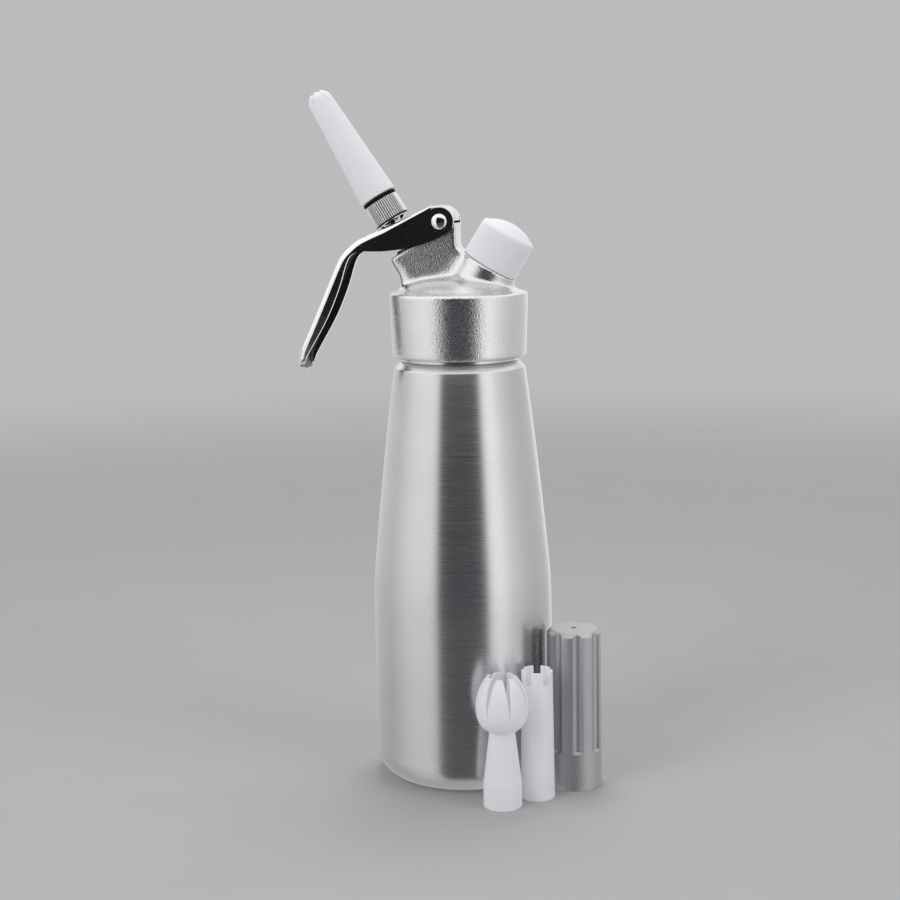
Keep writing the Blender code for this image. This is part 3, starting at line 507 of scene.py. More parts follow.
def bottle_radius_at(height):
    """The wall's radius: straight below the cone's foot, then a cone that curves in."""
    share = max(0.0, (height - cone_foot) / cone_height)
    return bottle_radius - (bottle_radius - shoulder_radius) * (0.78 * share + 0.22 * share ** 2)


def cone_line(inset, count=34):
    """Points down the cone; the bend at its foot is blended over a centimetre and a half."""
    points = []
    for number in range(count + 1):
        height = cone_top + (cone_bottom - cone_top) * number / count
        blended = sum(bottle_radius_at(height + step * 0.004) for step in range(-2, 3)) / 5
        points.append((blended - inset, height, 0.0))
    return points


outside = [(neck_radius - wall * 0.5, mouth_height, 0.0), (neck_radius, mouth_height, 0.0007)]
outside += [(neck_radius, mouth_height - 0.0012 - 0.0004 * number, 0.0) for number in range(40)]
outside += [(neck_radius, neck_foot, 0.0006)]
outside += [(shoulder_radius - 0.0028, neck_foot, 0.0008),
            (shoulder_radius - 0.0001, 0.1858, 0.0016)]
outside += cone_line(0.0)
outside += [(bottle_radius, 0.0, base_corner), (0.0, 0.0, 0.0)]
inside = [(0.0, wall, 0.0), (bottle_radius - wall, wall, base_corner - wall)]
inside += cone_line(wall)[::-1]
inside += [(shoulder_radius - wall, 0.1850, 0.0010),
           (neck_radius - wall, neck_foot - wall, 0.0020),
           (neck_radius - wall, mouth_height, 0.0005),
           (neck_radius - wall * 0.5, mouth_height, 0.0)]
bottle_outline = soften(outside, 10) + soften(inside, 6)[:-1]
print("bottle outline:", len(bottle_outline), "points")

# %% [markdown]
# ### The thread on the neck
# The head screws on the neck, and the thread shows once it is off. A helical cutter would
# leave thousands of slivers on so shallow a thread. The neck's rows of points stand 0.4 mm
# apart instead, and each point is drawn in by as much as the groove is deep at its bearing
# and height.

# %% Turn the bottle and press its thread
thread_pitch, thread_depth, thread_runout = 0.0040, 0.0007, 0.0015
thread_foot, thread_top = neck_foot + 0.0052, mouth_height - 0.0013


def draw_in(vert, depth):
    """Move a point towards the axis by that depth."""
    radius = math.hypot(vert.co.x, vert.co.y)
    vert.co.x *= (radius - depth) / radius
    vert.co.y *= (radius - depth) / radius


def press_thread(piece):
    """Press a rounded thread into the neck; it runs out softly at both ends."""
    for vert in piece.data.vertices:
        radius = math.hypot(vert.co.x, vert.co.y)
        if abs(radius - neck_radius) > 0.00001 or not thread_foot < vert.co.z < thread_top:
            continue
        turns = vert.co.z / thread_pitch - math.atan2(vert.co.y, vert.co.x) / math.tau
        from_end = min(vert.co.z - thread_foot, thread_top - vert.co.z)
        share = min(1.0, from_end / thread_runout)
        draw_in(vert, thread_depth * share * (0.5 - 0.5 * math.cos(math.tau * turns)))


bottle = lathe("drawn_bottle", bottle_outline, steps=160, ring=True)
press_thread(bottle)
dress(bottle, "bottle", brushed, "bottle_aluminium", "bottle")

# %% [markdown]
# ## The head
# The head is one casting: a collar with a domed top, a flat block that carries the lever's
# pin, a boss for the valve and a boss for the gas port. A caster's pattern has a fillet in
# every inner corner. Plain unions would leave hard creases there, and a bevel fails where
# three round forms meet. So the solids are fused into one fine skin, and only its hollows are
# filled in, step by step, as a pattern maker fills them with wax.

# %% The collar with its dome
collar_radius, dome_edge = 0.0307, 0.0277
dome_rise, dome_steps = 0.0060, 14


def casting_dome():
    """The collar, closed by a dome that is flat in the middle and steep at its edge."""
    points = []
    for number in range(dome_steps + 1):
        share = (number / dome_steps) ** 0.7
        rise = dome_rise * (1 - share ** 3.2)
        points.append((dome_edge * share, rim_height + rise - clearance, 0.0))
    points += [(collar_radius, rim_height - clearance, 0.0042)]
    points += [(collar_radius - 0.0010, collar_foot, 0.0010), (0.0, collar_foot, 0.0)]
    return lathe("casting", soften(points, 6), steps=160)


casting = casting_dome()
print("collar from", round(collar_foot * 1000, 1), "to", round(rim_height * 1000, 1), "mm")

# %% [markdown]
# ### The flat block
# A block 14 mm thick rises from the dome, and its top corner is the round lug for the lever's
# pin. Its side view could be a traced list of points. It is built from arcs and from places
# along the two leaning axes instead, so that it meets both bosses exactly.

# %% Outline of the flat block
stem_reach, port_reach = 0.0425, 0.0279
port_boss_radius = 0.0130
lug_radius = 0.0067


def on_axis(foot, lean, along, across):
    """A point of the XZ plane: along a leaning axis, then square to it towards +X."""
    point = foot + Vector((lean * math.sin(axis_tilt), 0.0, math.cos(axis_tilt))) * along
    point += Vector((math.cos(axis_tilt), 0.0, -lean * math.sin(axis_tilt))) * across
    return (point.x, point.z)


def arc(centre, radius, start, end, steps):
    """Points on an arc between two angles in degrees."""
    points = []
    for step in range(steps + 1):
        angle = math.radians(start + (end - start) * step / steps)
        points.append((centre[0] + radius * math.cos(angle), centre[1] + radius * math.sin(angle)))
    return points


def block_outline():
    """The block's side view: up the valve's shaft, round the lug, down to the port."""
    half_shaft = 0.0078
    lug = (pivot.x - 0.0005, pivot.z + 0.0005)
    back = lug[0] + lug_radius
    ridge = back + 0.0004
    corner = on_axis(port_foot, 1, port_reach - clearance, past - port_boss_radius)
    outline = [(-0.0225, rim_height - 0.0030)]
    outline += [on_axis(stem_foot, -1, stem_reach - 0.0148, -half_shaft)]
    outline += [on_axis(stem_foot, -1, stem_reach - 0.0020, -half_shaft)]
    outline += [on_axis(stem_foot, -1, stem_reach - 0.0020, half_shaft)]
    outline += arc((pivot.x, pivot.z), 0.0056, 190.0, 115.0, 10)
    outline += arc(lug, lug_radius, 96.0, 2.0, 18)
    outline += [(back, pivot.z - 0.0006), (ridge, pivot.z - 0.0014)]
    outline += curve_through((ridge, corner[1] + 0.0040), (ridge, corner[1] + 0.0013), corner)
    outline += [on_axis(port_foot, 1, port_reach - 0.0083, 0.0), (0.0225, rim_height - 0.0030)]
    return outline


print("block outline:", len(block_outline()), "points")

# %% [markdown]
# An outline becomes a solid when one face is extruded, as with E in Edit Mode. The same helper
# serves the block here and the lever's blanks later. A bar is a scaled cube.

# %% A plate cut to an outline, and a bar
def mesh_of(work, name):
    """Turn the work in hand into a mesh."""
    mesh = bpy.data.meshes.new(name)
    work.to_mesh(mesh)
    work.free()
    return mesh


def plate(name, outline, half_thickness, frame_matrix=upright):
    """A flat plate in its frame's XZ plane."""
    work = bmesh.new()
    near = [work.verts.new((across, -half_thickness, up)) for across, up in outline]
    face = work.faces.new(near)
    grown = bmesh.ops.extrude_face_region(work, geom=[face])["geom"]
    moved = [part for part in grown if isinstance(part, bmesh.types.BMVert)]
    bmesh.ops.translate(work, vec=(0.0, half_thickness * 2, 0.0), verts=moved)
    bmesh.ops.recalc_face_normals(work, faces=work.faces)
    return put(name, mesh_of(work, name), frame_matrix)


def bar(name, size, centre, frame_matrix=upright):
    """A straight bar, used as a cutting tool."""
    work = bmesh.new()
    bmesh.ops.create_cube(work, size=1.0)
    bmesh.ops.scale(work, vec=size, verts=work.verts)
    bmesh.ops.translate(work, vec=centre, verts=work.verts)
    return put(name, mesh_of(work, name), frame_matrix)


half_block = 0.0070
flat_block = plate("flat_block", block_outline(), half_block)
print("flat block:", len(flat_block.data.polygons), "faces")

# %% [markdown]
# ### The bosses
# Two bosses leave the block along the leaning axes. The valve's is a shaft with a skirt,
# trimmed flush with the block's sides; the gas port's is a short drum. Both run deep into the
# dome, because solids that only touch can't be fused. A cone under the port's boss fills the
# corner that a caster would not leave sharp.

# %% The bosses
boss_depth = 0.0190
boss_foot = (0.0, stem_reach - boss_depth, 0.0)
stem_boss = lathe("stem_boss", soften([
    (0.0, stem_reach, 0.0), (0.0105, stem_reach, 0.0012), (0.0105, stem_reach - 0.0095, 0.0040),
    (0.0135, stem_reach - 0.0150, 0.0), boss_foot], 5), stem_frame)
cut(stem_boss, bar("boss_flats", (0.2, half_block * 2, 0.2), (0.0, 0.0, pivot.z)), "INTERSECT")
boss_foot = (0.0, port_reach - boss_depth, 0.0)
port_boss = lathe("port_boss", soften([
    (0.0, port_reach, 0.0), (port_boss_radius, port_reach, 0.0006),
    (port_boss_radius, boss_foot[1], 0.0), boss_foot], 5), port_frame)
port_skirt = lathe("port_skirt", soften([
    (0.0, port_reach - 0.0030, 0.0), (0.0094, port_reach - 0.0030, 0.0010),
    (0.0132, port_reach - 0.0090, 0.0020), (0.0132, boss_foot[1], 0.0), boss_foot], 5),
    port_frame @ Matrix.Translation((0.0035, 0.0, 0.0)))
print("stem boss, port boss and the skirt that leads the port boss into the dome")

# %% [markdown]
# ### One skin
# A union keeps long thin faces where the solids meet, and such faces can't be smoothed. The
# Remesh modifier wraps the union in even squares of less than half a millimetre, which can be
# worked like wax. It also softens the outer edges a little, as a casting's are.

# %% Fuse the casting into one fine skin
def fuse(piece, others, voxel):
    """Join the pieces and wrap them in one even skin."""
    for other in others:
        joined = piece.modifiers.new("join", "BOOLEAN")
        joined.operation = "UNION"
        joined.object = other
        joined.solver = "EXACT"
    skin = piece.modifiers.new("skin", "REMESH")
    skin.mode = "VOXEL"
    skin.voxel_size = voxel
    settle(piece)
    for other in others:
        bpy.data.objects.remove(other, do_unlink=True)


fuse(casting, [flat_block, stem_boss, port_boss, port_skirt], 0.00045)
print("casting skin:", len(casting.data.vertices), "points")

# %% [markdown]
# ### Fillets in the hollows
# The Smooth modifier would melt the outer edges along with the hollows. Here a point is drawn
# to its neighbours' middle only where that moves it outwards, and that is so in hollows alone.
# The rounds add up to a fillet that follows every bend of the crease.

# %% Fill the hollows, as a pattern maker does
def relax(mesh, rounds, hollows_only, near=None, reach=1.0, step=0.5):
    """Draw points to their neighbours' middle, everywhere or in the hollows near a place."""
    count = len(mesh.vertices)
    places = np.empty(count * 3)
    mesh.vertices.foreach_get("co", places)
    places = places.reshape(-1, 3)
    edges = np.empty(len(mesh.edges) * 2, dtype=np.int64)
    mesh.edges.foreach_get("vertices", edges)
    one, two = edges.reshape(-1, 2).T
    degree = np.bincount(np.concatenate([one, two]), minlength=count)[:, None]
    normals = np.empty(count * 3)
    share = np.ones((count, 1))
    if near is not None:
        away = np.linalg.norm(places - np.array(near), axis=1)
        share = np.clip(2.0 - away / reach, 0.0, 1.0)[:, None]
    for _ in range(rounds):
        total = np.zeros_like(places)
        for axis in range(3):
            total[:, axis] = (np.bincount(one, places[two, axis], count)
                              + np.bincount(two, places[one, axis], count))
        pull = total / degree - places
        if hollows_only:
            mesh.vertices.foreach_set("co", places.ravel())
            mesh.update()
            mesh.vertex_normals.foreach_get("vector", normals)
            outward = (pull * normals.reshape(-1, 3)).sum(1)
            pull[outward < 0.0] = 0.0
        places = places + pull * share * step
    mesh.vertices.foreach_set("co", places.ravel())
    mesh.update()


relax(casting.data, 8, False)
relax(casting.data, 60, True)
# On both sides the crease under the port boss and the shoulder of the stem boss need more.
for side in (1.0, -1.0):
    crease = port_frame @ Vector((-0.0108, 0.0074 * side, 0.0190))
    relax(casting.data, 90, True, near=crease, reach=0.0045)
    relax(casting.data, 10, False, near=crease, reach=0.0060)
    shoulder = stem_frame @ Vector((-0.0092, 0.0078 * side, 0.0330))
    relax(casting.data, 70, False, near=shoulder, reach=0.0040)
relax(casting.data, 4, False)
print("casting relaxed")

# %% [markdown]
# ### Bores
# The casting is drilled last, so that no smoothing can touch the bores. Each drill is turned
# with its stages in one outline, as a step drill is ground. The skin is closed and very fine,
# and the Manifold solver cuts such meshes in seconds.

# %% Bore the casting
def drill(name, frame_matrix, top, stages):
    """A stepped drill; each stage is a radius and the height at which it ends."""
    outline = [(0.0, top)]
    for radius, end in stages:
        outline += [(radius, outline[-1][1]), (radius, end)]
    return lathe(name, outline + [(0.0, outline[-1][1])], frame_matrix)


gasket_seat = mouth_height + 0.0021
pin_bore = 0.0027
tools = [
    drill("collar_cavity", upright, gasket_seat + 0.0030,
          [(0.0210, gasket_seat), (neck_radius + clearance, collar_foot - past)]),
    drill("valve_bore", stem_frame, stem_reach + past,
          [(0.0053, stem_reach - 0.0142), (0.0033, stem_reach - 0.0182),
           (0.0064, stem_reach - 0.0347)]),
    drill("port_bore", port_frame, port_reach + past,
          [(0.0083, port_reach - 0.0143), (0.0020, port_reach - 0.0308)]),
    drill("pin_hole", pin_frame, 0.010, [(pin_bore, -0.010)]),
    bar("lug_notch", (0.0044, 0.02, 0.0010), (pivot.x + 0.0062, 0.0, pivot.z - 0.0002)),
]
for tool in tools:
    cut(casting, tool, solver="MANIFOLD")
casting.name = "cast_head"
dress(casting, "head", blasted, "head_aluminium", "head", angle=40.0)

# %% [markdown]
# ## The lever
# The lever starts as a flat sheet of steel 1.4 mm thick. It is pressed into a channel: a web
# on top and a flange down each side, deep over the valve and shallow along the handle.
# Bending a mesh sheet would crumple the flanges at the elbow, where the side view turns. So a
# blank is drawn a little longer and deeper than the lever, its two long bends are rounded, a
# second blank one sheet smaller hollows it from below, and only then is it trimmed to its side
# view. The bends stay even from end to end, and they are the bright lines along the web.

# %% Side view of the lever
lever_reach, lever_drop = 0.0850, 0.0340
sheet = 0.0014
half_lever = 0.0090
web_height = 0.0079
web_rear = 0.0013
flange_round = 0.0061
web_line_shares = [
    (0.30, -0.221), (0.424, -0.221), (0.49, -0.200), (0.555, -0.135), (0.612, -0.025),
    (0.672, 0.110), (0.742, 0.268), (0.812, 0.424), (0.885, 0.585), (0.945, 0.715),
    (0.982, 0.810), (1.0, 0.905), (1.003, 0.965), (0.998, 1.015),
]
flange_edge_shares = [
    (0.984, 0.990), (0.975, 0.950), (0.958, 0.905), (0.935, 0.855), (0.870, 0.735),
    (0.800, 0.610), (0.730, 0.470), (0.665, 0.320), (0.610, 0.180), (0.565, 0.050),
    (0.530, -0.040), (0.497, -0.088), (0.455, -0.090), (0.400, -0.030), (0.330, 0.045),
    (0.245, 0.112), (0.145, 0.168), (0.055, 0.182),
]


print("lever reaches", round(lever_reach * 1000, 1), "mm back from its pin")

# %% Smooth lines and lines beside them
def smooth_line(points, steps):
    """A smooth line through all the points."""
    padded = [points[0]] + list(points) + [points[-1]]
    line = []
    for number in range(len(points) - 1):
        before, start, end, after = padded[number:number + 4]
        for step in range(steps):
            t = step / steps
            line.append(tuple((2 * b + (c - a) * t + (2 * a - 5 * b + 4 * c - d) * t ** 2
                               + (3 * b - a - 3 * c + d) * t ** 3) / 2
                              for a, b, c, d in zip(before, start, end, after)))
    return line + [tuple(points[-1])]


def beside(line, distance):
    """The line moved sideways, to its left where the distance is positive."""
    moved = []
    for number, (across, up) in enumerate(line):
        before, after = line[max(number - 1, 0)], line[min(number + 1, len(line) - 1)]
        along = (Vector(after) - Vector(before)).normalized()
        moved.append((across - along.y * distance, up + along.x * distance))
    return moved


def on_side_view(shares):
    """Places in the side view, from shares of the lever's reach and drop."""
    return [(-across * lever_reach, -down * lever_drop) for across, down in shares]


knee = on_side_view(web_line_shares)
knee[0], knee[1] = (knee[0][0], web_height), (knee[1][0], web_height)
web_outer = [(-web_rear, web_height)] + smooth_line(knee, 6)
web_inner = beside(web_outer, sheet)
flange_edge = smooth_line(on_side_view(flange_edge_shares), 6)
print("web line", len(web_outer), "points, flange edge", len(flange_edge), "points")

# %% [markdown]
# ### The long bends
# A Bevel modifier rounds by angle, and would take the edges at the blank's ends as well. Here
# the two long bends are picked by their place: both ends of such an edge lie on the web's
# line, and the edge doesn't run across the lever.

# %% Round the long bends of a blank
def round_bends(piece, line, radius, segments):
    """Round the two long edges that follow the line; the rounding runs out at its end."""
    work = bmesh.new()
    work.from_mesh(piece.data)
    known = {(round(x, 6), round(z, 6)) for x, z in line}
    bends = []
    for edge in work.edges:
        first, second = edge.verts
        ends = {(round(vert.co.x, 6), round(vert.co.z, 6)) for vert in edge.verts}
        if abs(first.co.y - second.co.y) < sheet and ends <= known:
            bends.append(edge)
    bmesh.ops.bevel(work, geom=bends, offset=radius, segments=segments, profile=0.5,
                    affect="EDGES")
    work.to_mesh(piece.data)
    work.free()


start = min(range(len(web_inner)),
            key=lambda n: (Vector(web_inner[n]) - Vector(flange_edge[0])).length)
rear = arc((0.0, 0.0), flange_round, -93.0, 97.0, 32)
lever_outline = web_outer + web_inner[:start:-1] + flange_edge
lever_outline += rear + [(-web_rear, flange_round)]
print("side view of the lever:", len(lever_outline), "points")

# %% Press the channel
overrun = 0.0040
blank_depth, blank_taper = 0.0065, 0.0029
bend_radius, inner_bend = 0.0025, 0.0011
end_way = (Vector(web_outer[-1]) - Vector(web_outer[-4])).normalized() * overrun
long_web = web_outer + [tuple(Vector(web_outer[-1]) + end_way)]
elbow = min(range(len(long_web)), key=lambda n: abs(long_web[n][0] + 0.40 * lever_reach))


def deep_line(extra):
    """The lower line of the overlong blank, from the tip back to the elbow."""
    line = []
    for number in range(elbow + 1, len(long_web)):
        share = min(1.0, max(0.0, (number - start + 12) / 24))
        depth = blank_depth - blank_taper * share
        line.append(beside(long_web, depth + extra)[number])
    return line[::-1]


deep_edge = [point for point in beside(flange_edge, -past)
             if point[0] > long_web[elbow][0] + past]
deep_rear = arc((0.0, 0.0), flange_round + past, -93.0, 97.0, 32)
blank_outline = long_web + deep_line(0.0) + deep_edge + deep_rear
blank_outline += [(-web_rear, flange_round + past)]
lever = plate("pressed_lever", blank_outline, half_lever, lever_frame)
round_bends(lever, long_web[:-1], bend_radius, 8)
long_inside, deep_inside = beside(long_web, sheet), deep_line(0.0005)
above, beyond = web_height + past, flange_round + past * 2
hollow_outline = [(beyond, above), (past - web_rear, above),
                  (past - web_rear, long_inside[0][1])] + long_inside[:-1]
hollow_outline += [tuple(Vector(point) + end_way) for point in (long_inside[-1], deep_inside[0])]
hollow_outline += deep_inside + beside(deep_edge, -past)
hollow_outline += arc((0.0, 0.0), beyond, -93.0, 0.0, 16)
hollow = plate("channel", hollow_outline, half_lever - sheet, lever_frame)
round_bends(hollow, long_inside[:-1], inner_bend, 5)
cut(lever, hollow)
cut(lever, plate("trimmed_side", lever_outline, half_lever * 2, lever_frame), "INTERSECT")
print("channel:", len(lever.data.vertices), "points")

# %% [markdown]
# The handle ends in a half oval. Seen square to the web it is plain, but the web slopes there,
# so the cutter stands square to the handle's own direction and not to the lever's frame.

# %% Round the handle's end
end_length = 0.0058
tool_reach = 0.020


def end_tool():
    """What is cut off the handle's end, so that it is a half oval."""
    along = (Vector(web_outer[-1]) - Vector(web_outer[-19])).normalized()
    reach = max(Vector(point).dot(along) for point in web_outer)
    level = Vector(web_outer[-1]).dot(Vector((-along.y, along.x)))
    outline = []
    for degrees in range(-88, 89, 8):
        angle = math.radians(degrees)
        outline.append((reach - end_length + end_length * math.cos(angle),
                        (half_lever + 0.0001) * math.sin(angle)))
    last, first = outline[-1][0], outline[0][0]
    outline += [(last, half_lever + past), (reach + past, half_lever + past),
                (reach + past, -half_lever - past), (first, -half_lever - past)]
    work = bmesh.new()
    rims = []
    for height in (level - tool_reach, level + tool_reach):
        rims.append([work.verts.new((along.x * far - along.y * height, across,
                                     along.y * far + along.x * height))
                     for far, across in outline])
    low, high = rims
    work.faces.new(low)
    work.faces.new(high)
    for number in range(len(outline)):
        work.faces.new((low[number - 1], low[number], high[number], high[number - 1]))
    bmesh.ops.recalc_face_normals(work, faces=work.faces)
    return put("end_tool", mesh_of(work, "end_tool"), lever_frame)


cut(lever, end_tool())
print("with its round end:", len(lever.data.vertices), "points")

# %% [markdown]
# ### Slot and pin holes
# The stem passes through the web. The lever swings on its pin while the stem slides straight,
# so the hole is a slot and not a bore. It lies where the stem's axis meets the web. Its
# corners are rounded on the tool, before the cut, because four tool edges are easy to find.

# %% Cut the stem slot and the pin holes
slot_length, slot_width = 0.0130, 0.0094


def stem_height(distance):
    """Height on the stem axis of the plane beside the web at that distance over the pivot."""
    normal = Vector((-math.sin(web_slope), 0.0, math.cos(web_slope)))
    direction = Vector((-math.sin(axis_tilt), 0.0, math.cos(axis_tilt)))
    return (pivot + normal * distance - stem_foot).dot(normal) / direction.dot(normal)


on_web = lever_frame.inverted() @ (stem_frame @ Vector((0.0, 0.0, stem_height(web_height))))
slot = bar("stem_slot", (slot_length, slot_width, sheet * 4), (on_web.x, 0.0, web_height),
           lever_frame)
ends = slot.modifiers.new("round_ends", "BEVEL")
ends.width = 0.0028
ends.segments = 8
ends.limit_method = "ANGLE"
cut(lever, slot)
cut(lever, drill("pin_holes", pin_frame, 0.02, [(pin_bore, -0.02)]))
print("slot", round(slot_length * 1000, 1), "x", round(slot_width * 1000, 1), "mm")

# %% [markdown]
# A flange is one large face with a hundred edges, and Blender shades such a face unevenly. One
# could build the flange from small squares, but cutting the finished lever across into strips
# gives small even faces and changes no shape. The faces inside the channel get the dull steel,
# whose near-black colour is painted shade. They are told from the outside by their distance to
# the points of the web's line. That line has no points on its straight stretch, so the flat
# outside of the web gets the dull steel and its painted shade there too.

# %% Shade and dress the lever
strip_width = 0.0040
work = bmesh.new()
work.from_mesh(lever.data)
for number in range(2, 21):
    bmesh.ops.bisect_plane(work, geom=work.verts[:] + work.edges[:] + work.faces[:],
                           plane_co=(-strip_width * number, 0.0, 0.0),
                           plane_no=(1.0, 0.0, 0.0))
work.to_mesh(lever.data)
work.free()
dress(lever, "lever", chrome, "polished_chrome", "lever", angle=40.0)
# The channel's inside gets the dull steel, whose near-black colour is painted shade.
lever.data.materials.append(dull)
web_points = np.array(web_outer)
for face in lever.data.polygons:
    middle = face.center
    off_web = np.hypot(web_points[:, 0] - middle.x, web_points[:, 1] - middle.z).min()
    outer_web = abs(face.normal.y) < 0.9 and off_web < sheet * 0.6
    if abs(middle.y) < half_lever - sheet + 0.00002 and not outer_web and middle.x < flange_round:
        face.material_index = 1
lever.data.transform(lever_frame)
lever.matrix_world = upright
print("dull faces:", sum(face.material_index for face in lever.data.polygons))

# %% [markdown]
# ## The pivot pin
# A rivet-like pin with a domed head crosses the block, and a domed nut closes its far end.
# A slice of a sphere would do for the dome, but a pressed one is flatter in the middle and
# rounder at its rim. It mirrors the whole room in a circle of a few millimetres, so its
# outline needs many steps.

# %% Pin and nut
flange_face = half_lever + clearance
pin_radius, head_radius, head_height = 0.0024, 0.0034, 0.0017
dome_top = flange_face + head_height
pin_end = -flange_face - head_height / 2
dome = curve_through((0.0, dome_top), (head_radius * 0.98, dome_top),
                     (head_radius, flange_face + 0.0003), 14)
pin = lathe("domed_pin", dome + [(head_radius, flange_face), (pin_radius, flange_face),
                                 (pin_radius, pin_end), (0.0, pin_end)], pin_frame)
dress(pin, "head", chrome, "polished_chrome", "lever_pin")
nut_end = -flange_face - head_height - clearance
nut_inside = pin_end - clearance
cup = curve_through((head_radius, -flange_face), (head_radius, nut_end), (0.0, nut_end), 14)
nut = lathe("domed_nut", [(0.0, nut_inside), (pin_radius + clearance, nut_inside),
                          (pin_radius + clearance, -flange_face)] + cup, pin_frame)
dress(nut, "head", chrome, "polished_chrome", "pin_nut")

# %% [markdown]
# ## The valve under the lever
# Between the boss and the web a spring pushes the stem up, so the lever always comes back.
# The spring is one helix of wire. If it rode on the stem as a stiff piece, it would sink into
# the bush, so it stays on the head.

# %% Valve spring
web_inside = stem_height(web_height - sheet)
shoulder_top = web_inside - 0.0011
shoulder_bottom = shoulder_top - 0.0016
bush_top = stem_reach + clearance + 0.0008
spring_foot = bush_top + clearance
spring_top = shoulder_bottom - clearance
wire, coil_steps = 0.0007, 24


def helix(name, coil_radius, turns, foot, top, frame_matrix):
    """A coil of wire between two heights."""
    curve = bpy.data.curves.new(name, "CURVE")
    curve.dimensions = "3D"
    curve.bevel_depth = wire / 2
    curve.bevel_resolution = 3
    curve.use_fill_caps = True
    count = turns * coil_steps
    spline = curve.splines.new("POLY")
    spline.points.add(count)
    for number, point in enumerate(spline.points):
        share = number / count
        angle = math.tau * turns * share
        height = foot + wire / 2 + (top - foot - wire) * share
        point.co = (coil_radius * math.cos(angle), coil_radius * math.sin(angle), height, 1.0)
    guide = put(name + "_line", curve)
    bpy.context.view_layer.update()
    graph = bpy.context.evaluated_depsgraph_get()
    mesh = bpy.data.meshes.new_from_object(guide.evaluated_get(graph))
    bpy.data.objects.remove(guide, do_unlink=True)
    return put(name, mesh, frame_matrix)


spring = helix("wound_spring", 0.0044, 4, spring_foot, spring_top, stem_frame)
dress(spring, "head", steel, "steel", "valve_spring")
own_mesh(spring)

# %% [markdown]
# ### Stem, bush and lock nut
# The stem is a turned rod. The web presses on its shoulder, and the adapter screws on its
# upper end over a bright lock nut. A brass bush guides it in the boss. One turned piece would
# look the same at rest, but the bush stays on the head while the stem and the nut slide, so
# each is a piece of its own.

# %% Stem, bush and lock nut
adapter_foot = stem_height(web_height) + 0.0023
stud_top = adapter_foot + 0.0077
bore_end, stem_end = stem_reach - 0.0182, 0.0176
stem = lathe("stem", soften([
    (0.0, bore_end, 0.0), (0.0019, bore_end, 0.0), (0.0019, stud_top, 0.0002),
    (0.0034, stud_top, 0.0003), (0.0034, shoulder_top, 0.0002), (0.0052, shoulder_top, 0.0003),
    (0.0052, shoulder_bottom, 0.0003), (0.0030, shoulder_bottom, 0.0002),
    (0.0030, stem_end, 0.0003), (0.0, stem_end, 0.0)]), stem_frame, steps=64)
dress(stem, "stem", chrome, "polished_chrome", "valve_stem")
bush_end = stem_reach - 0.0120
bush = lathe("gland_bush_turned", soften([
    (0.0036, bush_top, 0.0), (0.0060, bush_top, 0.0002), (0.0060, bush_top - 0.0008, 0.0002),
    (0.0050, bush_top - 0.0008, 0.0), (0.0050, bush_end, 0.0002), (0.0036, bush_end, 0.0),
    (0.0033, bush_top - 0.0003, 0.0)]), stem_frame, steps=64, ring=True)
dress(bush, "head", brass, "brass", "gland_bush")
lock_top = adapter_foot - clearance
lock_end = lock_top - 0.0016
lock_nut = lathe("lock_nut_turned", soften([
    (0.0040, lock_top, 0.0), (0.0066, lock_top, 0.0002), (0.0066, lock_top - 0.0005, 0.0002),
    (0.0043, lock_end, 0.0003), (0.0037, lock_end, 0.0), (0.0037, lock_top, 0.0)]),
    stem_frame, steps=64, ring=True)
dress(lock_nut, "stem", chrome, "polished_chrome", "lock_nut")

# %% [markdown]
# ## The knurled adapter and its ring
# The tip fits on a turned adapter, whose rim is ribbed for the fingers, about one rib a
# millimetre. Forty-six cutters would do, but it is enough to draw the points of the rim in and
# out in a wave, as a knurling wheel does. The faces in the grooves and under the adapter's foot
# get a nearly black metal: painted shade. A soft black ring seals the joint between the adapter
# and the tip.

# %% Adapter
adapter_radius, adapter_top_radius, spigot_radius = 0.0081, 0.0079, 0.0059
adapter_top = adapter_foot + 0.0096
spigot_top = adapter_top + 0.0086
adapter_ribs, rib_depth = 46, 0.00055


def knurled(outline, ribs, depth, low, high, frame_matrix):
    """A turned piece whose outside between two heights is drawn in between the ribs."""
    piece = lathe("knurled_adapter", outline, frame_matrix, steps=ribs * 8)
    for vert in piece.data.vertices:
        radius = math.hypot(vert.co.x, vert.co.y)
        if radius < spigot_radius + 0.0012 or not low < vert.co.z < high:
            continue
        wave = 0.5 + 0.5 * math.cos(ribs * math.atan2(vert.co.y, vert.co.x))
        draw_in(vert, depth * (1.0 - wave ** 0.6))
    return piece


adapter_corners = [
    (spigot_radius - 0.002, spigot_top, 0.0), (spigot_radius, spigot_top, 0.0004),
    (spigot_radius, adapter_top, 0.0), (adapter_top_radius, adapter_top, 0.0005),
    (adapter_radius, adapter_foot, 0.0005), (0.0037, adapter_foot, 0.0002),
    (0.0037, stud_top + clearance, 0.0), (0.0026, stud_top + clearance, 0.0),
    (0.0026, spigot_top, 0.0003), (spigot_radius - 0.002, spigot_top, 0.0)]
adapter = knurled(soften(adapter_corners)[:-1], adapter_ribs, rib_depth,
                  adapter_foot - past, adapter_top + past, stem_frame)
dress(adapter, "stem", adapter_metal, "grey_satin", "nozzle_adapter", angle=50.0)
# Groove faces and the faces under the adapter's foot get painted shade.
adapter.data.materials.append(painted_shade_metal)
for face in adapter.data.polygons:
    wave = math.cos(adapter_ribs * math.atan2(face.center.y, face.center.x))
    across = math.hypot(*face.center.xy)
    in_groove = wave < -0.45 and adapter_foot < face.center.z < adapter_top and across > 0.0070
    if in_groove or (face.center.z < adapter_foot + 0.0002 and across > 0.0040):
        face.material_index = 1
print("dark faces:", sum(face.material_index for face in adapter.data.polygons))

# %% [markdown]
# ### The soft ring
# Rubber that is squeezed between two parts is wider than it is thick. Blender's torus has a
# round section, so an oval is swept instead.

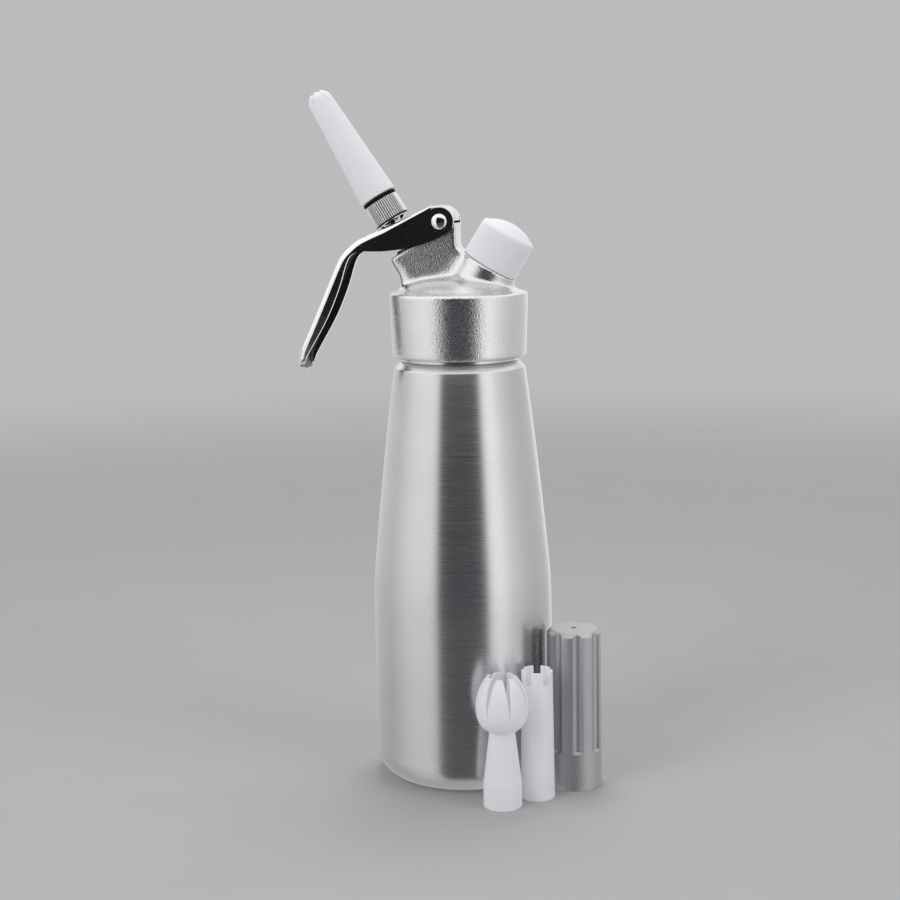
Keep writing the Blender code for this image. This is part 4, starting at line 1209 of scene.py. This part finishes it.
# %% Soft ring
def soft_ring(name, middle_radius, middle_height, half_width, half_thick, frame_matrix):
    """A rubber ring with an oval section."""
    outline = []
    for number in range(20):
        angle = math.pi / 2 - math.tau * number / 20
        outline.append((middle_radius + half_width * math.cos(angle),
                        middle_height + half_thick * math.sin(angle)))
    return lathe(name, outline, frame_matrix, ring=True)


ring_foot = adapter_top + clearance
soft_seal = soft_ring("soft_ring", spigot_radius + clearance + 0.00085, ring_foot + 0.00065,
                      0.00092, 0.00072, stem_frame)
dress(soft_seal, "stem", black_rubber, "black_rubber", "adapter_o_ring")

# %% [markdown]
# ## The tips
# The three decorating tips are moulded from the same white plastic. Each is a turned shell
# with a socket for the spigot; what differs is the mouth. Each tooth could be modelled and
# copied round, but cutting the gaps out of the turned shell keeps its surface in one piece.
# One tool cuts all gaps of a tip at once, and its curved sides leave soft points between them.

# %% A tool that cuts notches all round
def notch_tool(name, count, inner, outer, profile, frame_matrix, first):
    """Radial cutters with one profile of half width and height, from foot to top."""
    work = bmesh.new()
    outline = profile + [(-half, up) for half, up in reversed(profile)]
    for number in range(count):
        turn = Matrix.Rotation(first + math.tau * number / count, 4, "Z")
        near = [work.verts.new(turn @ Vector((inner, across, up))) for across, up in outline]
        far = [work.verts.new(turn @ Vector((outer, across, up))) for across, up in outline]
        work.faces.new(near)
        work.faces.new(far[::-1])
        for step in range(len(outline)):
            after = (step + 1) % len(outline)
            work.faces.new((near[after], near[step], far[step], far[after]))
    bmesh.ops.recalc_face_normals(work, faces=work.faces)
    return put(name, mesh_of(work, name), frame_matrix)


def pointed(foot, top, half_top, steps=8):
    """A slit that opens from a point at its foot to its full width at the top."""
    profile = [(0.00006, foot)]
    for step in range(1, steps + 1):
        share = step / steps
        profile.append((half_top * share ** 0.9, foot + (top - foot) * share))
    return profile + [(half_top, top + past * 2)]


print("notch tool ready")

# %% [markdown]
# ### The mounted tip
# A long cone with a rounded lip sits on the adapter's spigot. Six narrow notches open outwards
# in its mouth. Curves draw the lip inside and outside, and the fillets of the outline soften
# the rest.

# %% Mounted tip
nozzle_foot = ring_foot + 0.0013 + clearance
nozzle_top = nozzle_foot + 0.0534
nozzle_neck = nozzle_top - 0.0053
socket_radius = spigot_radius + clearance
lip = curve_through((0.0026, nozzle_top), (0.0056, nozzle_top - 0.0021), (0.0056, nozzle_neck), 12)
inner_lip = curve_through((0.0043, nozzle_neck), (0.0043, nozzle_top - 0.0030),
                          (0.0016, nozzle_top - 0.0004), 12)
nozzle_outline = lip + soften([
    (0.0056, nozzle_neck, 0.0), (0.0084, nozzle_foot, 0.0004),
    (socket_radius, nozzle_foot, 0.0003), (socket_radius, spigot_top + clearance, 0.0005),
    (0.0043, nozzle_neck, 0.0)])[1:] + inner_lip[1:]
nozzle = lathe("mounted_tip", nozzle_outline, stem_frame, steps=144, ring=True)
petal_gap = [(0.00005, nozzle_top - 0.0048), (0.00022, nozzle_top - 0.0044),
             (0.00030, nozzle_top - 0.0020), (0.00045, nozzle_top - 0.0012),
             (0.00085, nozzle_top - 0.0005), (0.0016, nozzle_top + 0.0002)]
notches = notch_tool("notches", 6, 0.0006, 0.0100, petal_gap, stem_frame,
                     math.radians(-78.5) + math.pi / 6)
cut(nozzle, notches, crossing=True)
round_edges(nozzle, 0.00018, 45.0)
dress(nozzle, "nozzle", plastic, "white_plastic", "nozzle_tip", angle=40.0)

# %% [markdown]
# ### Where the loose pieces stand
# Three pieces stand close to the bottle. Their places could be read off their boxes, but the
# notches and teeth make a box lopsided by a little. A bearing and a distance from the bottle's
# axis are exact, and the boxes then prove them.

# %% Places of the loose pieces
def stand_at(bearing, away):
    """A place on the floor, by its bearing and distance from the bottle's axis."""
    angle = math.radians(bearing)
    return Matrix.Translation((away * math.cos(angle), away * math.sin(angle), 0.0))


holder_frame = stand_at(-13.6, bottle_radius + 0.0011 + 0.0124)
crown_frame = stand_at(-39.78, bottle_radius + 0.0024 + 0.0075)
tulip_frame = stand_at(-61.0, bottle_radius + 0.0004 + 0.0113)
places = {"charger_holder": holder_frame, "crown_tip": crown_frame, "tulip_tip": tulip_frame}
for node, where in places.items():
    low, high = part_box(node)
    off = (where.translation.xy - ((low + high) / 2).xy).length
    print(node, "centre off by", round(off * 1000, 3), "mm")

# %% [markdown]
# ### The crown tip
# A short tube with five square slots, which leave five broad teeth. The slots narrow at their
# foot and widen at the mouth, as a mould needs to let the plastic go.

# %% Crown tip
crown_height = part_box("crown_tip")[1].z
crown_outline = soften([
    (0.0061, crown_height, 0.0), (0.0068, crown_height, 0.0003), (0.0075, 0.0, 0.0004),
    (socket_radius, 0.0, 0.0003), (socket_radius, 0.0100, 0.0004), (0.0056, 0.0110, 0.0),
    (0.0056, crown_height, 0.0003), (0.0061, crown_height, 0.0)])[:-1]
crown = lathe("crown_tip_moulded", crown_outline, crown_frame, steps=128, ring=True)
square_slot = [(0.0012, crown_height - 0.0063), (0.0015, crown_height - 0.0060),
               (0.0015, crown_height - 0.0004), (0.0021, crown_height + past)]
slots = notch_tool("square_slots", 5, 0.0030, 0.0085, square_slot, crown_frame,
                   math.radians(-81.5) + math.pi / 5)
cut(crown, slots, crossing=True)
round_edges(crown, 0.0002, 45.0)
dress(crown, "crown", plastic, "white_plastic", "crown_tip", angle=40.0)

# %% [markdown]
# ### The tulip tip
# A bulb on a tapered foot, slit into seven petals that end in points. A sphere would be too
# round for it: the real bulb is tall and full at its widest. Each quarter of its section is
# one soft curve, outside and inside, and the slits start as a point and widen upwards.

# %% Tulip tip
tulip_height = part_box("tulip_tip")[1].z
bulb_radius, bulb_height, tulip_neck, tulip_wall = 0.0113, 0.0441, 0.0336, 0.0012
flare_height = tulip_neck + (bulb_height - tulip_neck) / 4
petal_bend = bulb_height + 0.0078
outer = curve_through((0.0064, tulip_height), (bulb_radius, petal_bend),
                      (bulb_radius, bulb_height), 14)
outer += curve_through((bulb_radius, bulb_height), (bulb_radius, flare_height),
                       (0.0055, tulip_neck), 12)[1:]
lower = soften([(0.0055, tulip_neck, 0.0), (0.0083, 0.0108, 0.004), (0.0083, 0.0, 0.0005),
                (socket_radius, 0.0, 0.0003), (socket_radius, 0.0100, 0.0004),
                (0.0043, tulip_neck - 0.0024, 0.0010), (0.0043, 0.0354, 0.0)])
cup_radius = bulb_radius - tulip_wall
inner = curve_through((0.0043, 0.0354), (cup_radius, flare_height + 0.0024),
                      (cup_radius, bulb_height), 12)[1:]
inner += curve_through((cup_radius, bulb_height), (cup_radius, petal_bend),
                       (0.0052, tulip_height), 14)[1:]
tulip = lathe("tulip_tip_moulded", outer + lower[1:] + inner, tulip_frame, steps=168, ring=True)
slits = notch_tool("slits", 7, 0.0040, 0.0125, pointed(0.0412, tulip_height, 0.0014),
                   tulip_frame, math.radians(-88.5) + math.pi / 7)
cut(tulip, slits, crossing=True)
round_edges(tulip, 0.0002, 45.0)
dress(tulip, "tulip", plastic, "white_plastic", "tulip_tip", angle=40.0)

# %% [markdown]
# ## The port's cap
# The cap is a thick moulding that closes the gas port. Its wall widens a little towards the
# foot, and its top is a shallow dome. A slice of a sphere would do as well, but a few points on
# a parabola go straight into the outline, and its shoulder gets its fillet in the same step.

# %% Charger cap
port_seat = port_reach + clearance
cap_foot = port_reach + 0.00006
cap_top, cap_rise = port_seat + 0.0165, 0.0036
cap_apex = cap_top + cap_rise
cap_dome = [(0.0114 * n / 12, cap_apex - cap_rise * (n / 12) ** 2, 0.0) for n in range(12)]
cap = lathe("moulded_cap", soften(cap_dome + [
    (0.0125, cap_top - 0.0004, 0.0022), (0.0129, cap_foot, 0.0003), (0.0112, cap_foot, 0.0003),
    (0.0112, port_seat + 0.0130, 0.0006), (0.0102, port_seat + 0.0140, 0.0),
    (0.0, cap_apex - 0.0026, 0.0)], 6), port_frame, steps=128)
dress(cap, "cap", plastic, "white_plastic", "charger_cap", angle=40.0)

# %% [markdown]
# ### The charger holder
# The holder is a tube that takes a small steel gas charger and screws on the port in the cap's
# place. Its long flutes could be drawn as waves in the wall, but a milled flute has crisp
# edges. They are cut with a round tool that stops short of the foot and narrows there, so each
# flute ends in a bright half-round step.

# %% Charger holder
holder_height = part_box("charger_holder")[1].z
holder_top_radius, holder_chamfer = 0.0119, 0.0018
flute_count, flute_radius, flute_depth = 8, 0.0030, 0.0012
flute_foot, run_out = 0.0168, 0.0009
holder_turn = math.radians(-75.7)
holder = lathe("fluted_holder", soften([
    (0.0013, holder_height, 0.0), (holder_top_radius - holder_chamfer, holder_height, 0.0006),
    (holder_top_radius, holder_height - holder_chamfer, 0.0006),
    (0.0124, 0.0, 0.0005), (0.0112, 0.0, 0.0003), (0.0112, 0.0120, 0.0004),
    (0.0093, 0.0140, 0.0004), (0.0093, holder_height - 0.0030, 0.0006),
    (0.0013, holder_height - 0.0030, 0.0)]), holder_frame, steps=160, ring=True)


def flute_tool(number):
    """The round tool at the place of one flute; its end narrows by the flute's depth."""
    angle = math.tau * number / flute_count + holder_turn
    reach = holder_top_radius - flute_depth + flute_radius
    aside = Matrix.Translation((reach * math.cos(angle), reach * math.sin(angle), 0.0))
    top = holder_height + past
    return lathe("flute", [
        (0.0, top), (flute_radius, top), (flute_radius, flute_foot + run_out),
        (flute_radius - flute_depth, flute_foot), (0.0, flute_foot)],
        holder_frame @ aside, steps=48)


for number in range(flute_count):
    cut(holder, flute_tool(number))
round_edges(holder, 0.00022, 30.0)
dress(holder, "holder", anodised, "grey_satin", "charger_holder", angle=40.0)

# %% [markdown]
# ## Pieces that stay inside
# Seals, the check valve, the piercing pin and the port's stud are hidden until something is
# taken off. Their solids are right as they are, so they keep their shape and get a finish.

# %% Finishes for the inner solids
inner_finishes = {
    "head_gasket": black_rubber, "gland_o_ring": black_rubber, "check_valve": black_rubber,
    "valve_seal": red_rubber, "port_gasket": red_rubber, "seal_nut": steel, "charger_port": steel,
    "piercing_pin": steel, "pin_holder": brass,
}
for name, finish in inner_finishes.items():
    solid = cad_nodes[name]
    solid.data.materials.clear()
    solid.data.materials.append(finish)
print("inner solids:", ", ".join(inner_finishes))

# %% [markdown]
# ## Floor, studio and camera
# Metal shows the room, so the room is part of the look. Lamps alone would give it a few small
# highlights on black. Here an upright drum of cloth stands round the object, bright on the
# left and right and dark in front. The dark part draws the dark band down the middle of the
# bottle and blackens the polished flange. Only the metal sees the drum. A pale floor fades
# into a pale backdrop for the camera, and three lamps light the dull pieces.

# %% Floor
floor_radius = 3.0
fade_from, fade_to = 0.35, 1.6


def mix_shaders(tree, share, first, second, end_node):
    """Mix two shaders by a share and hand the result to the end node."""
    mix = tree.nodes.new("ShaderNodeMixShader")
    tree.links.new(share, mix.inputs[0])
    tree.links.new(first.outputs[0], mix.inputs[1])
    tree.links.new(second.outputs[0], mix.inputs[2])
    tree.links.new(mix.outputs[0], tree.nodes[end_node].inputs["Surface"])


def make_floor():
    """A round floor that fades out with the distance from the object."""
    work = bmesh.new()
    bmesh.ops.create_circle(work, cap_ends=True, segments=96, radius=floor_radius)
    floor = put("floor", mesh_of(work, "floor"))
    finish = new_finish("pale_floor", (0.52, 0.52, 0.52), 0.0, 0.9)
    shader = shader_of(finish)
    shader.inputs["Specular IOR Level"].default_value = 0.1
    grain = noise(finish, (25.0, 25.0, 25.0), detail=2.0)
    tint(finish, grain, (0.515, 0.515, 0.515), (0.525, 0.525, 0.525))
    tree = finish.node_tree
    place = tree.nodes.new("ShaderNodeTexCoord")
    away = tree.nodes.new("ShaderNodeVectorMath")
    away.operation = "LENGTH"
    tree.links.new(place.outputs["Object"], away.inputs[0])
    fade = map_range(tree, away.outputs["Value"], fade_from, fade_to)
    fade.interpolation_type = "SMOOTHSTEP"
    clear = tree.nodes.new("ShaderNodeBsdfTransparent")
    mix_shaders(tree, fade.outputs["Result"], shader, clear, "Material Output")
    floor.data.materials.append(finish)
    floor.visible_glossy = False


make_floor()
print("floor radius", floor_radius, "m, faded out beyond", fade_to, "m")

# %% [markdown]
# ### The world
# A bright world would light the object from everywhere and wash out the shadows. The level that
# the camera, the metal and clear things see is therefore set apart from the level that lights
# the dull surfaces. A Light Path node tells the rays apart.

# %% World
backdrop_level = 0.50
room_level = 0.40


def make_world():
    """One level for what the camera and the metal see, and one for what lights the rest."""
    world = bpy.data.worlds.new("studio")
    bpy.context.scene.world = world
    world.use_nodes = True
    world.cycles.sampling_method = "NONE"
    tree = world.node_tree
    room = tree.nodes["Background"]
    room.inputs["Color"].default_value = (1.0, 1.0, 1.01, 1.0)
    room.inputs["Strength"].default_value = room_level
    backdrop = tree.nodes.new("ShaderNodeBackground")
    backdrop.inputs["Color"].default_value = (1.0, 1.0, 1.0, 1.0)
    backdrop.inputs["Strength"].default_value = backdrop_level
    path = tree.nodes.new("ShaderNodeLightPath")
    seen = path.outputs["Is Camera Ray"]
    for ray in ("Is Glossy Ray", "Is Transmission Ray"):
        either = tree.nodes.new("ShaderNodeMath")
        either.operation = "MAXIMUM"
        tree.links.new(seen, either.inputs[0])
        tree.links.new(path.outputs[ray], either.inputs[1])
        seen = either.outputs[0]
    mix_shaders(tree, seen, room, backdrop, "World Output")


make_world()
print("backdrop level", backdrop_level, "room level", room_level)

# %% [markdown]
# ### The camera
# The camera could look at a target, but then a slight tilt of the horizon is hard to give. It
# is placed by distance, height and three angles, and its matrix is put together from the side,
# top and backward directions.

# %% Camera
view_azimuth = math.radians(11.5)
camera_distance, camera_height = 0.720, 0.262
camera_pitch, camera_roll = math.radians(8.98), math.radians(0.90)
axis_offset = -0.00487
sensor_width, lens_length = 36.0, 65.0


def make_camera():
    """Place the camera by its own directions: side, top and backward."""
    back = Vector((math.sin(view_azimuth), -math.cos(view_azimuth), 0.0))
    right = Vector((math.cos(view_azimuth), math.sin(view_azimuth), 0.0))
    up = Vector((0.0, 0.0, 1.0))
    upward = up * math.cos(camera_pitch) - back * math.sin(camera_pitch)
    behind = back * math.cos(camera_pitch) + up * math.sin(camera_pitch)
    side = right * math.cos(camera_roll) - upward * math.sin(camera_roll)
    top = right * math.sin(camera_roll) + upward * math.cos(camera_roll)
    place = back * camera_distance + up * camera_height + right * axis_offset
    data = bpy.data.cameras.new("photo_camera")
    data.sensor_width = sensor_width
    data.lens = lens_length
    turned = Matrix((side, top, behind)).transposed().to_4x4()
    camera = put("photo_camera", data, Matrix.Translation(place) @ turned)
    bpy.context.scene.camera = camera
    return camera


camera = make_camera()
print("camera at", [round(x, 3) for x in camera.matrix_world.translation])

# %% [markdown]
# ### The walls that the metal mirrors
# The drum's brightness is a list of bearings and levels, read off the bands that the bottle
# shows. Lower down it is a little dimmer, and above the object it turns to an even pale
# canopy. A ceiling closes it, and three cards in front of the cloth correct what the drum
# can't give at one height only: two dark ones in front, a bright one on the left.

# %% Levels, and what only the metal sees
surround_levels = [
    (-180, 0.62), (-150, 0.62), (-122, 0.57), (-104, 0.54), (-89, 0.65), (-76, 0.75), (-62, 0.79),
    (-48, 0.80), (-36, 0.80), (-31, 0.045), (0, 0.045), (29, 0.045), (35, 0.90), (46, 1.0),
    (55, 0.92), (64, 0.72), (76, 0.64), (88, 0.56), (104, 0.52), (122, 0.54), (140, 0.56),
    (152, 0.80), (172, 0.82), (180, 0.50),
]
surround_strength = 1.22
drum_radius, drum_height, drum_middle = 1.3, 4.6, 0.3
canopy_foot, canopy_blend = 0.62, 0.35
ceiling_height, ceiling_strength = 2.5, 1.05
card_radius, card_steps = 1.18, 20


def mirrored_only(piece):
    """Show the piece to the metal alone, not to the camera or the dull pieces."""
    piece.visible_camera = False
    piece.visible_diffuse = False
    piece.visible_shadow = False
    piece.visible_transmission = False


def glowing(name, strength):
    """A surface that shines evenly and counts for no lamp."""
    finish = bpy.data.materials.new(name)
    finish.use_nodes = True
    tree = finish.node_tree
    tree.nodes.remove(tree.nodes["Principled BSDF"])
    glow = tree.nodes.new("ShaderNodeEmission")
    glow.inputs["Strength"].default_value = strength
    tree.links.new(glow.outputs[0], tree.nodes["Material Output"].inputs["Surface"])
    finish.cycles.emission_sampling = "NONE"
    return finish


dark = [bearing for bearing, level in surround_levels if level < 0.1]
print("the drum is dark from", dark[0], "to", dark[-1], "degrees")

# %% The drum
def make_surround():
    """An upright drum of cloth round the object; its brightness changes with the bearing."""
    work = bmesh.new()
    bmesh.ops.create_cone(work, cap_ends=False, segments=144, radius1=drum_radius,
                          radius2=drum_radius, depth=drum_height)
    turned = Matrix.Rotation(view_azimuth - math.pi / 2, 4, "Z")
    drum = put("surround", mesh_of(work, "surround"),
               Matrix.Translation((0.0, 0.0, drum_middle)) @ turned)
    finish = glowing("surround", surround_strength)
    tree = finish.node_tree
    glow = tree.nodes["Emission"]
    place = tree.nodes.new("ShaderNodeTexCoord")
    bearing = tree.nodes.new("ShaderNodeTexGradient")
    bearing.gradient_type = "RADIAL"
    ramp = tree.nodes.new("ShaderNodeValToRGB")
    stops = ramp.color_ramp.elements
    while len(stops) < len(surround_levels):
        stops.new(1.0)
    for stop, (angle, level) in zip(stops, surround_levels):
        stop.position = 0.5 + angle / 360.0
        blue = 1.25 if level < 0.1 else 1.0
        stop.color = (level, level, level * blue, 1.0)
    tree.links.new(place.outputs["Object"], bearing.inputs["Vector"])
    tree.links.new(bearing.outputs["Color"], ramp.inputs["Fac"])
    height = tree.nodes.new("ShaderNodeSeparateXYZ")
    tree.links.new(place.outputs["Object"], height.inputs["Vector"])
    level = height.outputs["Z"]
    canopy_start = canopy_foot - drum_middle
    low = map_range(tree, level, -0.10 - drum_middle, -0.35 - drum_middle)
    canopy = map_range(tree, level, canopy_start, canopy_start + canopy_blend)
    dimmer = map_range(tree, level, -0.80, -0.35, surround_strength * 0.66, surround_strength)
    colour = mix_colours(tree, low.outputs["Result"], ramp.outputs["Color"],
                         (0.13, 0.13, 0.135), "LIGHTEN")
    colour = mix_colours(tree, canopy.outputs["Result"], colour, (0.95, 0.95, 0.94))
    tree.links.new(colour, glow.inputs["Color"])
    tree.links.new(dimmer.outputs["Result"], glow.inputs["Strength"])
    drum.data.materials.append(finish)
    mirrored_only(drum)


make_surround()
print("drum with", len(surround_levels), "levels")

# %% The ceiling and the cards
def make_ceiling():
    """A round pale ceiling on the drum."""
    work = bmesh.new()
    bmesh.ops.create_circle(work, cap_ends=True, segments=48, radius=drum_radius)
    mesh = mesh_of(work, "ceiling")
    mesh.materials.append(glowing("ceiling", ceiling_strength))
    mirrored_only(put("ceiling", mesh, Matrix.Translation((0.0, 0.0, ceiling_height))))


def make_card(name, first, last, foot, top, level):
    """An upright card in front of the cloth, from one bearing to another."""
    work = bmesh.new()
    rims = []
    for height in (foot, top):
        rims.append([])
        for step in range(card_steps + 1):
            angle = view_azimuth + math.radians(first + (last - first) * step / card_steps)
            rims[-1].append(work.verts.new((card_radius * math.sin(angle),
                                            -card_radius * math.cos(angle), height)))
    low, high = rims
    for step in range(card_steps):
        work.faces.new((low[step], low[step + 1], high[step + 1], high[step]))
    mesh = mesh_of(work, name)
    mesh.materials.append(glowing(name, level))
    mirrored_only(put(name, mesh))


make_ceiling()
make_card("dark_card", -33.0, -15.0, 0.10, 0.62, 0.012)
make_card("band_card", -15.0, 26.0, 0.20, 0.62, 0.012)
make_card("left_card", -165.0, -38.0, 0.42, 1.00, 1.15)
print("a ceiling and three cards, seen by the metal alone")

# %% [markdown]
# ### Lamps
# Three soft boxes light plastic, rubber and floor: left front, right front and overhead. The
# metal doesn't see them, because the drum already gives it all its bands.

# %% Lamps
lamp_aim = Vector((0.0, 0.0, 0.12))


def make_lamp(name, bearing, height, distance, width, tall, watts):
    """A soft box at a bearing from the camera; it lights dull surfaces only."""
    data = bpy.data.lights.new(name, "AREA")
    data.shape = "RECTANGLE"
    data.size = width
    data.size_y = tall
    data.energy = watts
    angle = view_azimuth + math.radians(bearing)
    place = Vector((math.sin(angle), -math.cos(angle), 0.0)) * distance
    place += Vector((0.0, 0.0, height))
    turned = (lamp_aim - place).to_track_quat("-Z", "Y").to_matrix().to_4x4()
    lamp = put(name, data, Matrix.Translation(place) @ turned)
    lamp.visible_glossy = False


make_lamp("left_lamp", -50.0, 0.75, 1.1, 0.6, 0.9, 4.8)
make_lamp("right_lamp", 55.0, 0.70, 1.1, 0.6, 0.9, 3.2)
make_lamp("top_lamp", 180.0, 1.30, 0.30, 0.40, 0.40, 4.6)
print("three lamps, aimed", lamp_aim.z, "m over the floor")

# %% [markdown]
# ## Last setting
# The view transform stays plain, so a colour renders as it is written.

# %% Plain view transform
bpy.context.scene.view_settings.view_transform = "Standard"
bpy.context.view_layer.update()
